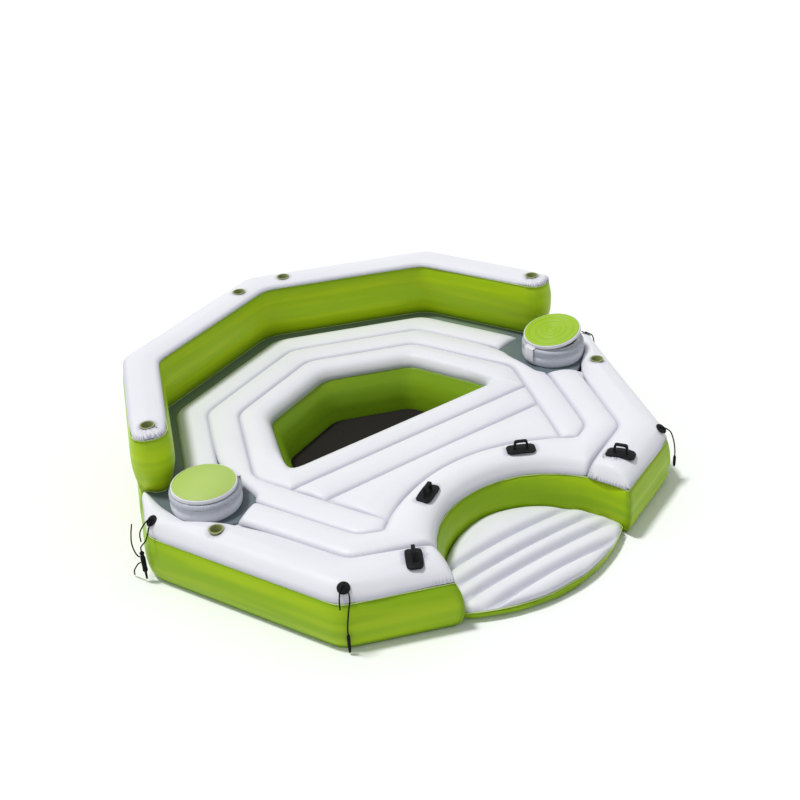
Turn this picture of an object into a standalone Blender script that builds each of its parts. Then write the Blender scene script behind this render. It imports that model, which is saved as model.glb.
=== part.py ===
# Octagonal inflatable party island: a puffed deck with a C-shaped backrest round its rear, a well with
# a mesh floor, a boarding bite with a ribbed platform, two lidded coolers, cup holders, handles and
# grab cords. Metres, +Z up, the bite at -Y. The plan is drawn round the octagon's centre, and the
# whole island then hangs from one empty that puts the middle of its outline at the origin.
import bpy
import bmesh
from math import asin, atan2, cos, pi, radians, sin, sqrt
from mathutils import Matrix, Vector

for old in list(bpy.data.objects):
    bpy.data.objects.remove(old, do_unlink=True)

# Fits
gap = 0.0003
overrun = 0.03

# The whole plan is drawn in shares of the hull's corner radius
hull_radius = 1.89
groove_shares = (0.8286, 0.7069, 0.5852)
outer_groove_radius, middle_groove_radius, inner_groove_radius = (
    hull_radius * share for share in groove_shares)
well_shares_in_plan = (0.4635, 0.4656, -0.0291)
well_radius, well_front_x, well_front_y = (hull_radius * share for share in well_shares_in_plan)
cross_groove_shares = (-0.14524, -0.27619)
cross_groove_1_y, cross_groove_2_y = (hull_radius * share for share in cross_groove_shares)
arc_groove_shares = (0.61429, -0.37619)
arc_groove_radius, arc_groove_apex_y = (hull_radius * share for share in arc_groove_shares)
bite_shares = (0.37143, -0.87619)
bite_radius, bite_centre_y = (hull_radius * share for share in bite_shares)
backrest_plan_shares = (0.86455, 0.12857, 0.0529)
backrest_radius, backrest_end_y, backrest_end_length = (hull_radius * share for share in backrest_plan_shares)
well_front_cut = 0.12
corner_cut = 0.07
notch_cut = 0.03

# Heights, each from the one that carries it
seam_height = 0.325
well_seam_rise = 0.02
deck_underside_rise = 0.025
valley_rise = 0.075
groove_rise = 0.08
deck_puff = 0.051
seat_puff = 0.041
backrest_rise = 0.427
backrest_puff = 0.039
well_seam_height = seam_height + well_seam_rise
deck_underside = seam_height + deck_underside_rise
valley_height = seam_height + valley_rise
groove_height = seam_height + groove_rise
deck_crown = groove_height + deck_puff
seat_crown = groove_height + seat_puff
backrest_height = valley_height + backrest_rise
backrest_crown = backrest_height + backrest_puff
valley_sheet = 0.02
deck_lip = 0.012
backrest_lip = 0.006
end_round = 0.06

# Hull walls and floor
wall_thickness = 0.02
wall_bulge = 0.035
floor_thickness = 0.012
floor_inset = 0.004
well_lean = 0.095
backrest_bulge = 0.03
backrest_foot_inset = 0.05
web_thickness = 0.004
net_height = 0.03
net_thickness = 0.006
net_bar = 0.012
net_cells = (13, 8)

# Cooler pockets and coolers
cooler_shares = (0.77725, -0.01852, 0.12222)
cooler_x, cooler_y, collar_radius = (hull_radius * share for share in cooler_shares)
pocket_y_shares = (0.15344, 0.17725, -0.12434, -0.18519, 0.08466)
pocket_rear_y, pocket_rear_outer_y, pocket_front_y, pocket_tip_y, pocket_inner_half = (
    hull_radius * share for share in pocket_y_shares)
pocket_shares = (0.62963, 0.88571, -0.09524)
pocket_inner_x, pocket_outer_x, pocket_outer_y = (hull_radius * share for share in pocket_shares)
strip_shares = (0.91005, 0.05291, 0.18519)
strip_x, strip_y, strip_end_y = (hull_radius * share for share in strip_shares)
strip_end_width = 0.02
collar_rise = 0.135
collar_top = valley_height + collar_rise
collar_width = 0.045
pot_radius = collar_radius - collar_width
pot_wall = 0.008
pot_floor = 0.06
pot_flange = 0.006
pot_flange_width = 0.014
pot_flange_radius = pot_radius + pot_flange_width
lid_setback = 0.019
lid_radius = collar_radius - lid_setback
lid_edge = 0.026
lid_chamfer = 0.0042
lid_panel_inset = 0.008
lid_panel = 0.005
plug_clearance = 0.008
plug_radius = pot_radius - pot_wall - plug_clearance
plug_depth = 0.028
lid_rest = 0.0006
lid_hinge_reach = 0.0015
ajar_angle = 11.0
hinge_width = 0.09
hinge_thickness = 0.008
hinge_web = 0.003
hinge_bead = 0.006
hinge_drop = 0.105

# Boarding platform
platform_shares = (-0.95767, 0.6)
platform_front_y, platform_front_radius = (hull_radius * share for share in platform_shares)
platform_groove_shares = (-0.65714, -0.7381, -0.80952, -0.89048)
platform_groove_ys = [hull_radius * share for share in platform_groove_shares]
platform_seam = 0.07
platform_groove_rise = 0.048
platform_puff = 0.027
platform_groove = platform_seam + platform_groove_rise
platform_crown = platform_groove + platform_puff
platform_foot_inset = 0.035
platform_foot = 0.03
platform_lip = 0.004

# Cup holders, by their places in the plan
cup_radius = 0.043
cup_wall = 0.003
cup_depth = 0.085
cup_lip_radius = 0.05
cup_lip = 0.003
cup_end_shares = (0.85397, 0.19259)
cup_rear_share = 0.88889
cup_deck_shares = (0.83968, -0.20212)

# Handles, by their places in the plan
handle_length = 0.19
handle_width = 0.105
handle_base = 0.01
handle_sink = 0.005
loop_width = 0.1
loop_height = 0.072
loop_thickness = 0.013
strap_width = 0.023
handle_inner_shares = (0.20238, -0.49206)
handle_inner_turn = -30.0
handle_inner_sag = 0.002
handle_outer_shares = (0.44048, -0.73545)
handle_outer_turn = -59.0
handle_outer_sag = 0.014

# Tie pads, each by its centre, the way it faces and its lean, and the cords on them
pad_radius = 0.04
pad_thickness = 0.007
pad_front_shares = (0.67725, -0.6963)
pad_front_rise = 0.092
pad_front_facing = -60.0
pad_front_lean = 34.0
pad_side_share = 0.97354
pad_side_rise = 0.1
pad_side_facing = 0.0
pad_side_lean = 36.0
cord_radius = 0.0045
cord_step = 0.026
rope_end_radius = 0.0105
rope_end_length = 0.135
rope_tip_length = 0.085
knot_radius = 0.0175
knot_length = 0.215

# Air valves
valve_radius = 0.03
valve_height = 0.007
valve_cap_radius = 0.022
valve_cap_height = 0.012
valve_hinge = 0.004

# Shares and counts, chosen by hand
corner_steps = 3
round_steps = 32
bead_steps = 6
arc_steps = 14
rib_shares = (0.0, 0.045, 0.17, 0.5, 0.83, 0.955, 1.0)
end_shares = (0.1, 0.4, 1.0)
wall_shares = ((0.0, 0.15), (0.13, 0.75), (0.36, 1.0), (0.62, 0.97), (0.84, 0.6), (1.0, 0.0))
well_shares = ((0.0, 1.0), (0.12, 1.0), (0.42, 0.9), (0.72, 0.56), (1.0, 0.0))
backrest_shares = ((0.0, -1.0, 0.0), (0.14, -0.4, 0.6), (0.42, 0.3, 1.0), (0.72, 0.45, 0.8), (1.0, 0.0, 0.0))
platform_across_shares = (0.0, 0.025, 0.12, 0.5, 0.88, 0.975, 1.0)
platform_rib_shares = (0.0, 0.22, 0.5, 0.78)
well_side_share = 0.42
plate_shares = ((-1.0, 0.5), (-0.93, 0.76), (-0.78, 0.95), (-0.4, 1.0), (0.0, 1.0), (0.4, 1.0), (0.78, 0.95),
                (0.93, 0.76), (1.0, 0.5))
rope_end_shares = ((0.0, 0.45), (0.06, 0.85), (0.2, 1.0), (0.8, 0.95), (1.0, 0.6))
collar_shares = ((0.94, 0.0), (0.99, 0.14), (1.0, 0.34), (0.985, 0.5), (0.955, 0.58), (0.975, 0.72), (0.97, 0.9),
                 (0.93, 1.0))
lid_shares = ((2.0, 0.0), (0.5, 0.2), (0.0, 0.5), (1.0, 0.9), (2.0, 1.0))
panel_shares = ((1.0, 0.0), (1.0, 0.7), (0.975, 1.0), (0.3, 1.1))
disc_shares = ((1.0, 0.6), (0.91, 1.0))
cap_shares = ((1.0, 0.75), (0.85, 1.0))
backrest_end_shares = ((0.03, 0.45), (0.14, 0.75), (0.42, 0.93), (1.0, 1.0))
swell_shares = (2.4, 0.62)
arm_cut_share = 2.2
bow_lead_share = 0.8
bow_end_share = 1.8
front_cut_share = 0.25
rib_start_share = 0.25
rib_tip_share = 0.1
taper_share = 2.5
loop_top_share = 0.435
loop_bend_share = 0.167
curve_steps = 24
rope_steps = 10
knot_shares = ((0.0, 0.4), (0.06, 0.95), (0.14, 0.62), (0.25, 1.0), (0.55, 0.9), (0.68, 1.0), (0.75, 0.5),
               (1.0, 0.4))

colours = {
    "green vinyl": ((0.29, 0.52, 0.008), 0.42),
    "white vinyl": ((0.86, 0.87, 0.9), 0.38),
    "dark green vinyl": ((0.09, 0.2, 0.01), 0.5),
    "black rubber": ((0.006, 0.006, 0.008), 0.6),
    "black cord": ((0.008, 0.008, 0.01), 0.85),
    "black mesh": ((0.012, 0.011, 0.012), 0.9),
    "olive plastic": ((0.13, 0.16, 0.05), 0.45),
    "grey plastic": ((0.55, 0.56, 0.58), 0.4),
}

root = bpy.data.objects.new("island_centre", None)
bpy.context.collection.objects.link(root)


# Objects and materials
def finish(colour_name):
    found = bpy.data.materials.get(colour_name)
    if found:
        return found
    colour, roughness = colours[colour_name]
    made = bpy.data.materials.new(colour_name)
    made.use_nodes = True
    shader = made.node_tree.nodes["Principled BSDF"]
    shader.inputs["Base Color"].default_value = (*colour, 1.0)
    shader.inputs["Roughness"].default_value = roughness
    shader.inputs["Metallic"].default_value = 0.0
    return made


def add_object(name, mesh, colour_name, parent=None, smooth=35.0):
    made = bpy.data.objects.new(name, mesh)
    bpy.context.collection.objects.link(made)
    made.parent = parent or root
    mesh.materials.append(finish(colour_name))
    mesh.shade_smooth()
    mesh.set_sharp_from_angle(angle=radians(smooth))
    return made


def mesh_from(name, points, faces):
    mesh = bpy.data.meshes.new(name)
    mesh.from_pydata([tuple(point) for point in points], [], faces)
    builder = bmesh.new()
    builder.from_mesh(mesh)
    bmesh.ops.recalc_face_normals(builder, faces=builder.faces)
    builder.to_mesh(mesh)
    builder.free()
    return mesh


def loft(name, sections, closed=False, fan=False):
    # Skins a row of sections that have the same number of points; a bent end is closed as a fan
    size = len(sections[0])
    points = [point for section in sections for point in section]
    faces = []
    last = len(sections) if closed else len(sections) - 1
    for row in range(last):
        here = row * size
        there = (row + 1) % len(sections) * size
        for index in range(size):
            after = (index + 1) % size
            faces.append((here + index, here + after, there + after, there + index))
    if closed:
        return mesh_from(name, points, faces)
    for first in (0, len(points) - size):
        if fan:
            faces += [(first, first + index, first + index + 1) for index in range(1, size - 1)]
        else:
            faces.append(tuple(range(first, first + size)))
    return mesh_from(name, points, faces)


def slab(name, outline, low, high):
    return loft(name, [[Vector((*point, height)) for point in outline] for height in (low, high)])


def turned(name, profile, steps=round_steps):
    # Turns a closed profile of (radius, height) points round Z; it stays off the axis
    sections = []
    for step in range(steps):
        angle = 2 * pi * step / steps
        across, aside = cos(angle), sin(angle)
        sections.append([Vector((radius * across, radius * aside, height)) for radius, height in profile])
    return loft(name, sections, closed=True)


def turned_solid(name, profile, steps=round_steps):
    # Turns an open profile whose first and last points are the rims of flat round faces
    rings = []
    for radius, height in profile:
        angles = [2 * pi * step / steps for step in range(steps)]
        rings.append([Vector((radius * cos(angle), radius * sin(angle), height)) for angle in angles])
    return loft(name, rings)


def cut(target, cutter):
    cutter.hide_render = True
    cutter.display_type = "WIRE"
    modifier = target.modifiers.new("cut " + cutter.name, "BOOLEAN")
    modifier.operation = "DIFFERENCE"
    modifier.solver = "EXACT"
    modifier.object = cutter


def cutter_object(name, mesh, parent=None):
    made = add_object(name, mesh, "grey plastic", parent)
    made.hide_render = True
    made.display_type = "WIRE"
    return made


# Plan geometry
def plan(x, y):
    return Vector((x, y))


def in_plan(shares, side):
    return plan(side * hull_radius * shares[0], hull_radius * shares[1])


def mirrored(points):
    return [plan(-point.x, point.y) for point in points]


def corner(radius, turns):
    # Octagon corner, turns eighths clockwise from the rear
    angle = pi / 2 - turns * pi / 4
    return plan(radius * cos(angle), radius * sin(angle))


def on_side(radius, first, second, y):
    # Point at y on the octagon side between two of its corners
    a = corner(radius, first)
    b = corner(radius, second)
    return a.lerp(b, (y - a.y) / (b.y - a.y))


def crossing(start, finish_point, centre_y, radius):
    # First point of a line, from start on, that lies on a circle centred on the Y axis
    centre = plan(0, centre_y)
    along = (finish_point - start).normalized()
    reach = (centre - start).dot(along)
    aside = (start + along * reach - centre).length
    return start + along * (reach - sqrt(radius ** 2 - aside ** 2))


def soft_path(corners, closed=False):
    # Each corner with a cut becomes a short curve that starts and ends that far from it
    points = []
    for index, (point, soft) in enumerate(corners):
        at_end = not closed and index in (0, len(corners) - 1)
        if at_end or not soft:
            points.append(point)
            continue
        before = corners[index - 1][0]
        after = corners[(index + 1) % len(corners)][0]
        start = point + (before - point).normalized() * soft
        stop = point + (after - point).normalized() * soft
        for step in range(corner_steps + 1):
            t = step / corner_steps
            points.append(start.lerp(point, t).lerp(point.lerp(stop, t), t))
    return points


def mitres(points, closed=True):
    # For each point, the move that offsets both its sides by one, to the right of the path
    moves = []
    for index, point in enumerate(points):
        before = points[index - 1] if closed or index > 0 else None
        after = points[(index + 1) % len(points)] if closed or index < len(points) - 1 else None
        normals = []
        for a, b in ((before, point), (point, after)):
            if a is not None and b is not None:
                along = (b - a).normalized()
                normals.append(plan(along.y, -along.x))
        total = normals[0] + normals[-1]
        moves.append(total * 2 / total.length_squared)
    return moves


def offset(points, distance, closed=True):
    return [point + move * distance for point, move in zip(points, mitres(points, closed))]


def circle_points(centre_y, radius, start, stop, steps):
    angles = [start + (stop - start) * step / steps for step in range(steps + 1)]
    return [plan(radius * cos(angle), centre_y + radius * sin(angle)) for angle in angles]


# The lines that the deck's tubes share, for the right half, from the rear forwards
arc_centre_y = arc_groove_apex_y - arc_groove_radius
inner_side = (corner(inner_groove_radius, 2), corner(inner_groove_radius, 3))
arc_start = crossing(inner_side[0], inner_side[1], arc_centre_y, arc_groove_radius)
arc_angle = atan2(arc_start.y - arc_centre_y, arc_start.x)
arc_lead_angle = arc_angle - asin(end_round * bow_end_share / arc_groove_radius)
arc_lead = circle_points(arc_centre_y, arc_groove_radius, arc_lead_angle, arc_lead_angle, 1)[0]
arc_line = circle_points(arc_centre_y, arc_groove_radius, arc_angle, pi - arc_angle, arc_steps)
hull_front = crossing(corner(hull_radius, 3), corner(hull_radius, 4), bite_centre_y, bite_radius)
groove_front = crossing(corner(outer_groove_radius, 3), corner(outer_groove_radius, 4), bite_centre_y, bite_radius)
pocket_rear = on_side(middle_groove_radius, 1, 2, pocket_rear_y)
pocket_rear_outer = on_side(outer_groove_radius, 1, 2, pocket_rear_outer_y)
pocket_front = on_side(middle_groove_radius, 2, 3, pocket_front_y)
pocket_tip = on_side(outer_groove_radius, 2, 3, pocket_tip_y)
pocket_inner_rear = plan(pocket_inner_x, cooler_y + pocket_inner_half)
pocket_inner_front = plan(pocket_inner_x, cooler_y - pocket_inner_half)
pocket_outer = plan(pocket_outer_x, pocket_outer_y)
strip = plan(strip_x, strip_y)
strip_end_outer = on_side(hull_radius, 1, 2, strip_end_y)
strip_end = strip_end_outer - plan(strip_end_width, 0)
seat_turn = on_side(middle_groove_radius, 2, 3, arc_lead.y + corner_cut)


# Edge kinds: height of the top's edge and of the underside below it
edges = {
    "groove": (groove_height, deck_underside),
    "valley": (valley_height, deck_underside),
    "seam": (seam_height + gap + deck_lip, seam_height + gap),
    "well": (well_seam_height + gap + deck_lip, well_seam_height + gap),
    "backrest": (backrest_height + gap + backrest_lip, backrest_height + gap),
}


def swell(share):
    # Height of a blown-up tube across its width, 0 at both edges and 1 in the middle
    across, up = swell_shares
    return (1 - abs(2 * share - 1) ** across) ** up


def rib_section(inner, outer, inner_edge, outer_edge, crown, rise, end_height, bow=0.0):
    across = outer - inner
    aside = plan(across.y, -across.x).normalized()
    section = [Vector((*inner, inner_edge[1]))]
    for share in rib_shares:
        base = inner_edge[0] + (outer_edge[0] - inner_edge[0]) * share
        height = base + (crown - base) * swell(share)
        height = end_height + (height - end_height) * rise
        place = inner.lerp(outer, share) + aside * bow * 4 * share * (1 - share)
        section.append(Vector((*place, height)))
    section.append(Vector((*outer, outer_edge[1])))
    return section


def rib(name, stations, crown, colour_name, ends=None, bow=0.0):
    # Lofts a puffed tube between two guides. A station is (inner, outer, cut, inner edge, outer edge),
    # and ends names the edges that the tube runs down to; without ends it closes on itself
    closed = ends is None
    cuts = [station[2] if isinstance(station[2], tuple) else (station[2], station[2]) for station in stations]
    inner = soft_path([(station[0], pair[0]) for station, pair in zip(stations, cuts)], closed)
    outer = soft_path([(station[1], pair[1]) for station, pair in zip(stations, cuts)], closed)
    inner_edges = []
    outer_edges = []
    for index, station in enumerate(stations):
        at_end = not closed and index in (0, len(stations) - 1)
        copies = 1 if at_end or not station[2] else corner_steps + 1
        inner_edges += [edges[station[3]]] * copies
        outer_edges += [edges[station[4]]] * copies
    along = inner[1] - inner[0]
    side = 1 if along.cross(outer[0] - inner[0]) < 0 else -1
    inner = offset(inner, side * gap / 2, closed)
    outer = offset(outer, -side * gap / 2, closed)
    rows = [[a, b, ea, eb, 1.0, 0.0] for a, b, ea, eb in zip(inner, outer, inner_edges, outer_edges)]
    if closed:
        sections = [rib_section(a, b, ea, eb, crown, rise, end) for a, b, ea, eb, rise, end in rows]
        return add_object(name, loft(name, sections, closed=True), colour_name)
    rows = round_end(rows, edges[ends[0]][0])
    rows = round_end(rows[::-1], edges[ends[1]][0])[::-1]
    sections = []
    for index, (a, b, ea, eb, rise, end) in enumerate(rows):
        bend = bow if index == len(rows) - 1 else bow / 2 if index == len(rows) - 2 else 0.0
        sections.append(rib_section(a, b, ea, eb, crown, rise, end, bend))
    return add_object(name, loft(name, sections, fan=True), colour_name)


def round_end(rows, end_height):
    # Adds rows that run the tube's height down to its end, and draws the end back by the gap
    first, second = rows[0], rows[1]
    length = (second[0].lerp(second[1], 0.5) - first[0].lerp(first[1], 0.5)).length
    added = []
    for share, rise_share in ((gap / length, 0.0), *((end_round * s / length, s) for s in end_shares)):
        if share < 1:
            rise = sqrt(1 - (1 - rise_share) ** 2)
            places = [first[side].lerp(second[side], share) for side in (0, 1)]
            added.append([*places, first[2], first[3], rise, end_height])
    return added + rows[1:]


def wall(name, sections, colour_name):
    return add_object(name, loft(name, sections, closed=True), colour_name)


def wall_section(point, move, low, high, shares, bulge, thickness):
    # Outer skin upwards, then the inner skin down again
    heights = [low + (high - low) * share for share, _ in shares]
    places = [point + move * bulge * share for _, share in shares]
    skin = [Vector((*place, height)) for place, height in zip(places, heights)]
    back = [Vector((*(place - move * thickness), height)) for place, height in zip(places, heights)]
    return skin + back[::-1]


# Deck
def hull_outline():
    # Round the hull at its seam, anticlockwise from the bite's right end
    corners = [(hull_front, 0), (corner(hull_radius, 3), corner_cut), (corner(hull_radius, 2), corner_cut)]
    corners += [(on_side(hull_radius, 1, 2, strip_end_y + extra), 0) for extra in (0.0, strip_end_width)]
    corners += [(corner(hull_radius, 1), corner_cut), (corner(hull_radius, 0), corner_cut)]
    corners += [(plan(-point.x, point.y), soft) for point, soft in corners[-2::-1]]
    start = atan2(hull_front.y - bite_centre_y, hull_front.x)
    bite = circle_points(bite_centre_y, bite_radius, pi - start, start, arc_steps)[1:-1]
    return soft_path(corners + [(point, 0) for point in bite], closed=True)


def both_sides(right, middle):
    # Stations of the right half, the middle ones, and the mirrored right half
    left = [(plan(-s[0].x, s[0].y), plan(-s[1].x, s[1].y), *s[2:]) for s in right[::-1]]
    return right + middle + left


def build_deck():
    kinds = ("groove", "groove")
    # The ring round the well, whose front run is the first cross rib
    front = on_side(inner_groove_radius, 2, 3, cross_groove_1_y)
    outside = [front] + [corner(inner_groove_radius, turns) for turns in (2, 1, 0)]
    cuts = (end_round * front_cut_share, corner_cut, corner_cut, corner_cut)
    right = []
    for (a, soft), b, other in zip(well_right(0.0), outside, cuts):
        right.append((a, b, (soft, other), "well", "groove"))
    rib("well_tube", both_sides(right[:-1], right[-1:]), seat_crown, "white vinyl")

    # The seat: a horseshoe that narrows past the coolers and turns in behind the bow
    right = [
        (arc_start, arc_lead, 0, *kinds),
        (on_side(inner_groove_radius, 2, 3, arc_start.y + arm_cut_share * corner_cut), seat_turn, corner_cut,
         *kinds),
        (on_side(inner_groove_radius, 2, 3, pocket_front_y - notch_cut), pocket_front, 0, *kinds),
        (on_side(inner_groove_radius, 2, 3, pocket_front_y / 2 - notch_cut), pocket_inner_front, notch_cut,
         "groove", "valley"),
        (corner(inner_groove_radius, 2), plan(pocket_inner_x, cooler_y), corner_cut, "groove", "valley"),
        (on_side(inner_groove_radius, 1, 2, pocket_inner_rear.y), pocket_inner_rear, notch_cut,
         "groove", "valley"),
        (on_side(inner_groove_radius, 1, 2, pocket_rear_y), pocket_rear, 0, *kinds),
        (corner(inner_groove_radius, 1), corner(middle_groove_radius, 1), corner_cut, *kinds),
    ]
    middle = [(corner(inner_groove_radius, 0), corner(middle_groove_radius, 0), corner_cut, *kinds)]
    rib("seat_tube", both_sides(right, middle), seat_crown, "white vinyl", kinds)

    right = [
        (pocket_rear, pocket_rear_outer, 0, "groove", "valley"),
        (corner(middle_groove_radius, 1), corner(outer_groove_radius, 1), corner_cut, "groove", "valley"),
    ]
    middle = [(corner(middle_groove_radius, 0), corner(outer_groove_radius, 0), corner_cut, "groove", "valley")]
    rib("outer_seat_tube", both_sides(right, middle), seat_crown, "white vinyl", ("valley", "valley"))

    # The bow, from pocket to pocket round the bite
    lead_in = groove_front.lerp(corner(outer_groove_radius, 3), end_round / outer_groove_radius * 2)
    bite_start = atan2(groove_front.y - bite_centre_y, groove_front.x)
    bite_line = circle_points(bite_centre_y, bite_radius, bite_start, pi - bite_start, arc_steps + 2)
    right = [
        (pocket_front, pocket_tip, 0, *kinds),
        (seat_turn, corner(outer_groove_radius, 3), corner_cut, *kinds),
        (seat_turn.lerp(arc_lead, bow_lead_share), lead_in, 0, *kinds),
        (arc_lead, groove_front, 0, "groove", "seam"),
    ]
    middle = [(a, b, 0, "groove", "seam") for a, b in zip(arc_line, bite_line[1:-1])]
    rib("bow_tube", both_sides(right, middle), deck_crown, "white vinyl", ("valley", "valley"))

    # The cross ribs between the seat's two arms
    rear = on_side(inner_groove_radius, 2, 3, cross_groove_1_y)
    ahead = on_side(inner_groove_radius, 2, 3, cross_groove_2_y)
    stations = [(rear, ahead, 0, *kinds), (plan(-rear.x, rear.y), plan(-ahead.x, ahead.y), 0, *kinds)]
    rib("cross_tube", stations, seat_crown, "white vinyl", kinds)
    rear = ahead
    rear_line = [rear.lerp(plan(-rear.x, rear.y), step / arc_steps) for step in range(arc_steps + 1)]
    stations = [(a, b, 0, *kinds) for a, b in zip(rear_line, arc_line)]
    rib("crescent_tube", stations, seat_crown, "white vinyl", kinds)

    # The gunwales, each from beside the backrest's end round the front corner to the bite
    chord = (hull_front - groove_front).length
    sagitta = bite_radius - sqrt(bite_radius ** 2 - chord ** 2 / 4)
    stations = [
        (strip_end, strip_end_outer, 0, "valley", "seam"),
        (strip, on_side(hull_radius, 1, 2, strip_y + notch_cut), notch_cut, "valley", "seam"),
        (pocket_outer, corner(hull_radius, 2), corner_cut, "valley", "seam"),
        (pocket_tip, on_side(hull_radius, 2, 3, pocket_tip_y - notch_cut), 0, "groove", "seam"),
        (corner(outer_groove_radius, 3), corner(hull_radius, 3), corner_cut, "groove", "seam"),
        (lead_in, hull_front.lerp(corner(hull_radius, 3), end_round / outer_groove_radius * 2), 0,
         "groove", "seam"),
        (groove_front, hull_front, 0, "seam", "seam"),
    ]
    left = [(plan(-s[0].x, s[0].y), plan(-s[1].x, s[1].y), *s[2:]) for s in stations]
    ends = ("seam", "seam")
    return {
        "right": rib("gunwale_right", stations, deck_crown, "white vinyl", ends, sagitta),
        "left": rib("gunwale_left", left, deck_crown, "white vinyl", ends, -sagitta),
    }


def build_hull():
    outline = hull_outline()
    moves = mitres(outline)
    low = floor_thickness + gap
    sections = []
    for point, move in zip(outline, moves):
        high = valley_height if point.y > strip_end_y + strip_end_width / 2 else seam_height
        sections.append(wall_section(point, move, low, high, wall_shares, wall_bulge, wall_thickness))
    wall("hull_side_wall", sections, "green vinyl")
    slab_outline = [point - move * floor_inset for point, move in zip(outline, moves)]
    hull_floor = add_object("hull_floor", slab("hull_floor", slab_outline, 0.0, floor_thickness), "green vinyl")
    well, foot = well_line(0.0), well_line(well_lean)
    cut(hull_floor, cutter_object("floor_cutter", slab("floor_cutter", foot, -overrun, overrun)))
    sections = []
    for point, move in zip(well, [(point - below) / well_lean for point, below in zip(well, foot)]):
        sections.append(wall_section(
            point, move, low, well_seam_height, well_shares, -well_lean, -wall_thickness))
    wall("well_wall", sections, "green vinyl")
    return max((point + move * wall_bulge).y for point, move in zip(outline, moves))


def well_line(inset):
    # The well's edge, anticlockwise, drawn in by the inset
    right = well_right(inset)
    left = [(plan(-point.x, point.y), soft) for point, soft in right[-2::-1]]
    return soft_path(right + left, closed=True)


def well_right(inset):
    # Corners of the well's right half from the front, each with its cut
    places = [plan(well_front_x, well_front_y), corner(well_radius, 1), corner(well_radius, 0)]
    front, rear, middle = offset(places + mirrored(places[1::-1]), -inset)[:3]
    side = front.lerp(rear, well_side_share)
    return [(front, well_front_cut), (side, notch_cut), (rear, corner_cut), (middle, corner_cut)]


def build_net():
    # A rim round the well's foot with crossing bars inside it
    edge, middle, inner = (well_line(well_lean + 2 * gap + net_bar * share) for share in (0, 0.5, 1))
    low, high = net_height, net_height + net_thickness
    rim = []
    for a, b in zip(edge, inner):
        rim.append([Vector((*a, low)), Vector((*a, high)), Vector((*b, high)), Vector((*b, low))])
    net = add_object("well_net", loft("well_net", rim, closed=True), "black mesh")
    left, right = min(p.x for p in edge), max(p.x for p in edge)
    front, rear = min(p.y for p in edge), max(p.y for p in edge)
    xs = bar_lines(left, right, net_cells[0])
    ys = bar_lines(front, rear, net_cells[1])
    builder = bmesh.new()
    for column in range(len(xs) - 1):
        for row in range(len(ys) - 1):
            if column % 2 and row % 2:
                continue
            (left_x, right_x), (front_y, rear_y) = xs[column:column + 2], ys[row:row + 2]
            cell = ((left_x, front_y), (right_x, front_y), (right_x, rear_y), (left_x, rear_y))
            builder.faces.new([builder.verts.new((x, y, low)) for x, y in cell])
    bmesh.ops.remove_doubles(builder, verts=builder.verts, dist=gap / 10)
    made = bmesh.ops.extrude_face_region(builder, geom=builder.faces[:])
    lifted = [item for item in made["geom"] if isinstance(item, bmesh.types.BMVert)]
    bmesh.ops.translate(builder, verts=lifted, vec=(0, 0, net_thickness))
    bmesh.ops.recalc_face_normals(builder, faces=builder.faces)
    mesh = bpy.data.meshes.new("net_bars")
    builder.to_mesh(mesh)
    builder.free()
    bars = cutter_object("net_bars", mesh)
    trim = bars.modifiers.new("trim to the rim", "BOOLEAN")
    trim.operation = "INTERSECT"
    trim.solver = "EXACT"
    trim.object = cutter_object("net_trim", slab("net_trim", middle, low - overrun, high + overrun))
    join = net.modifiers.new("bars", "BOOLEAN")
    join.operation = "UNION"
    join.solver = "EXACT"
    join.object = bars


def bar_lines(start, stop, cells):
    pitch = (stop - start) / cells
    lines = []
    for index in range(cells + 1):
        middle = start + pitch * index
        lines += [middle - net_bar / 2, middle + net_bar / 2]
    return lines


def build_webs():
    low, high = floor_thickness + gap, deck_underside - gap
    back = [corner(inner_groove_radius, turns) for turns in (2, 1, 0)]
    start = on_side(inner_groove_radius, 2, 3, cross_groove_1_y)
    line = [start] + back
    strip_web("web_inner_ring", line + mirrored(line[-2::-1]), low, high, closed=True)
    line = [on_side(middle_groove_radius, 1, 2, pocket_rear_y), corner(middle_groove_radius, 1)]
    line.append(corner(middle_groove_radius, 0))
    strip_web("web_outer_ring", line + mirrored(line[-2::-1]), low, high)
    end = on_side(inner_groove_radius, 2, 3, cross_groove_2_y)
    strip_web("web_cross", [end, plan(-end.x, end.y)], low, high)


def strip_web(name, line, low, high, closed=False):
    half = web_thickness / 2
    one, other = offset(line, half, closed), offset(line, -half, closed)
    if closed:
        sections = []
        for a, b in zip(one, other):
            sections.append([Vector((*a, low)), Vector((*a, high)), Vector((*b, high)), Vector((*b, low))])
        return add_object(name, loft(name, sections, closed=True), "white vinyl")
    return add_object(name, slab(name, one + other[::-1], low, high), "white vinyl")


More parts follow.
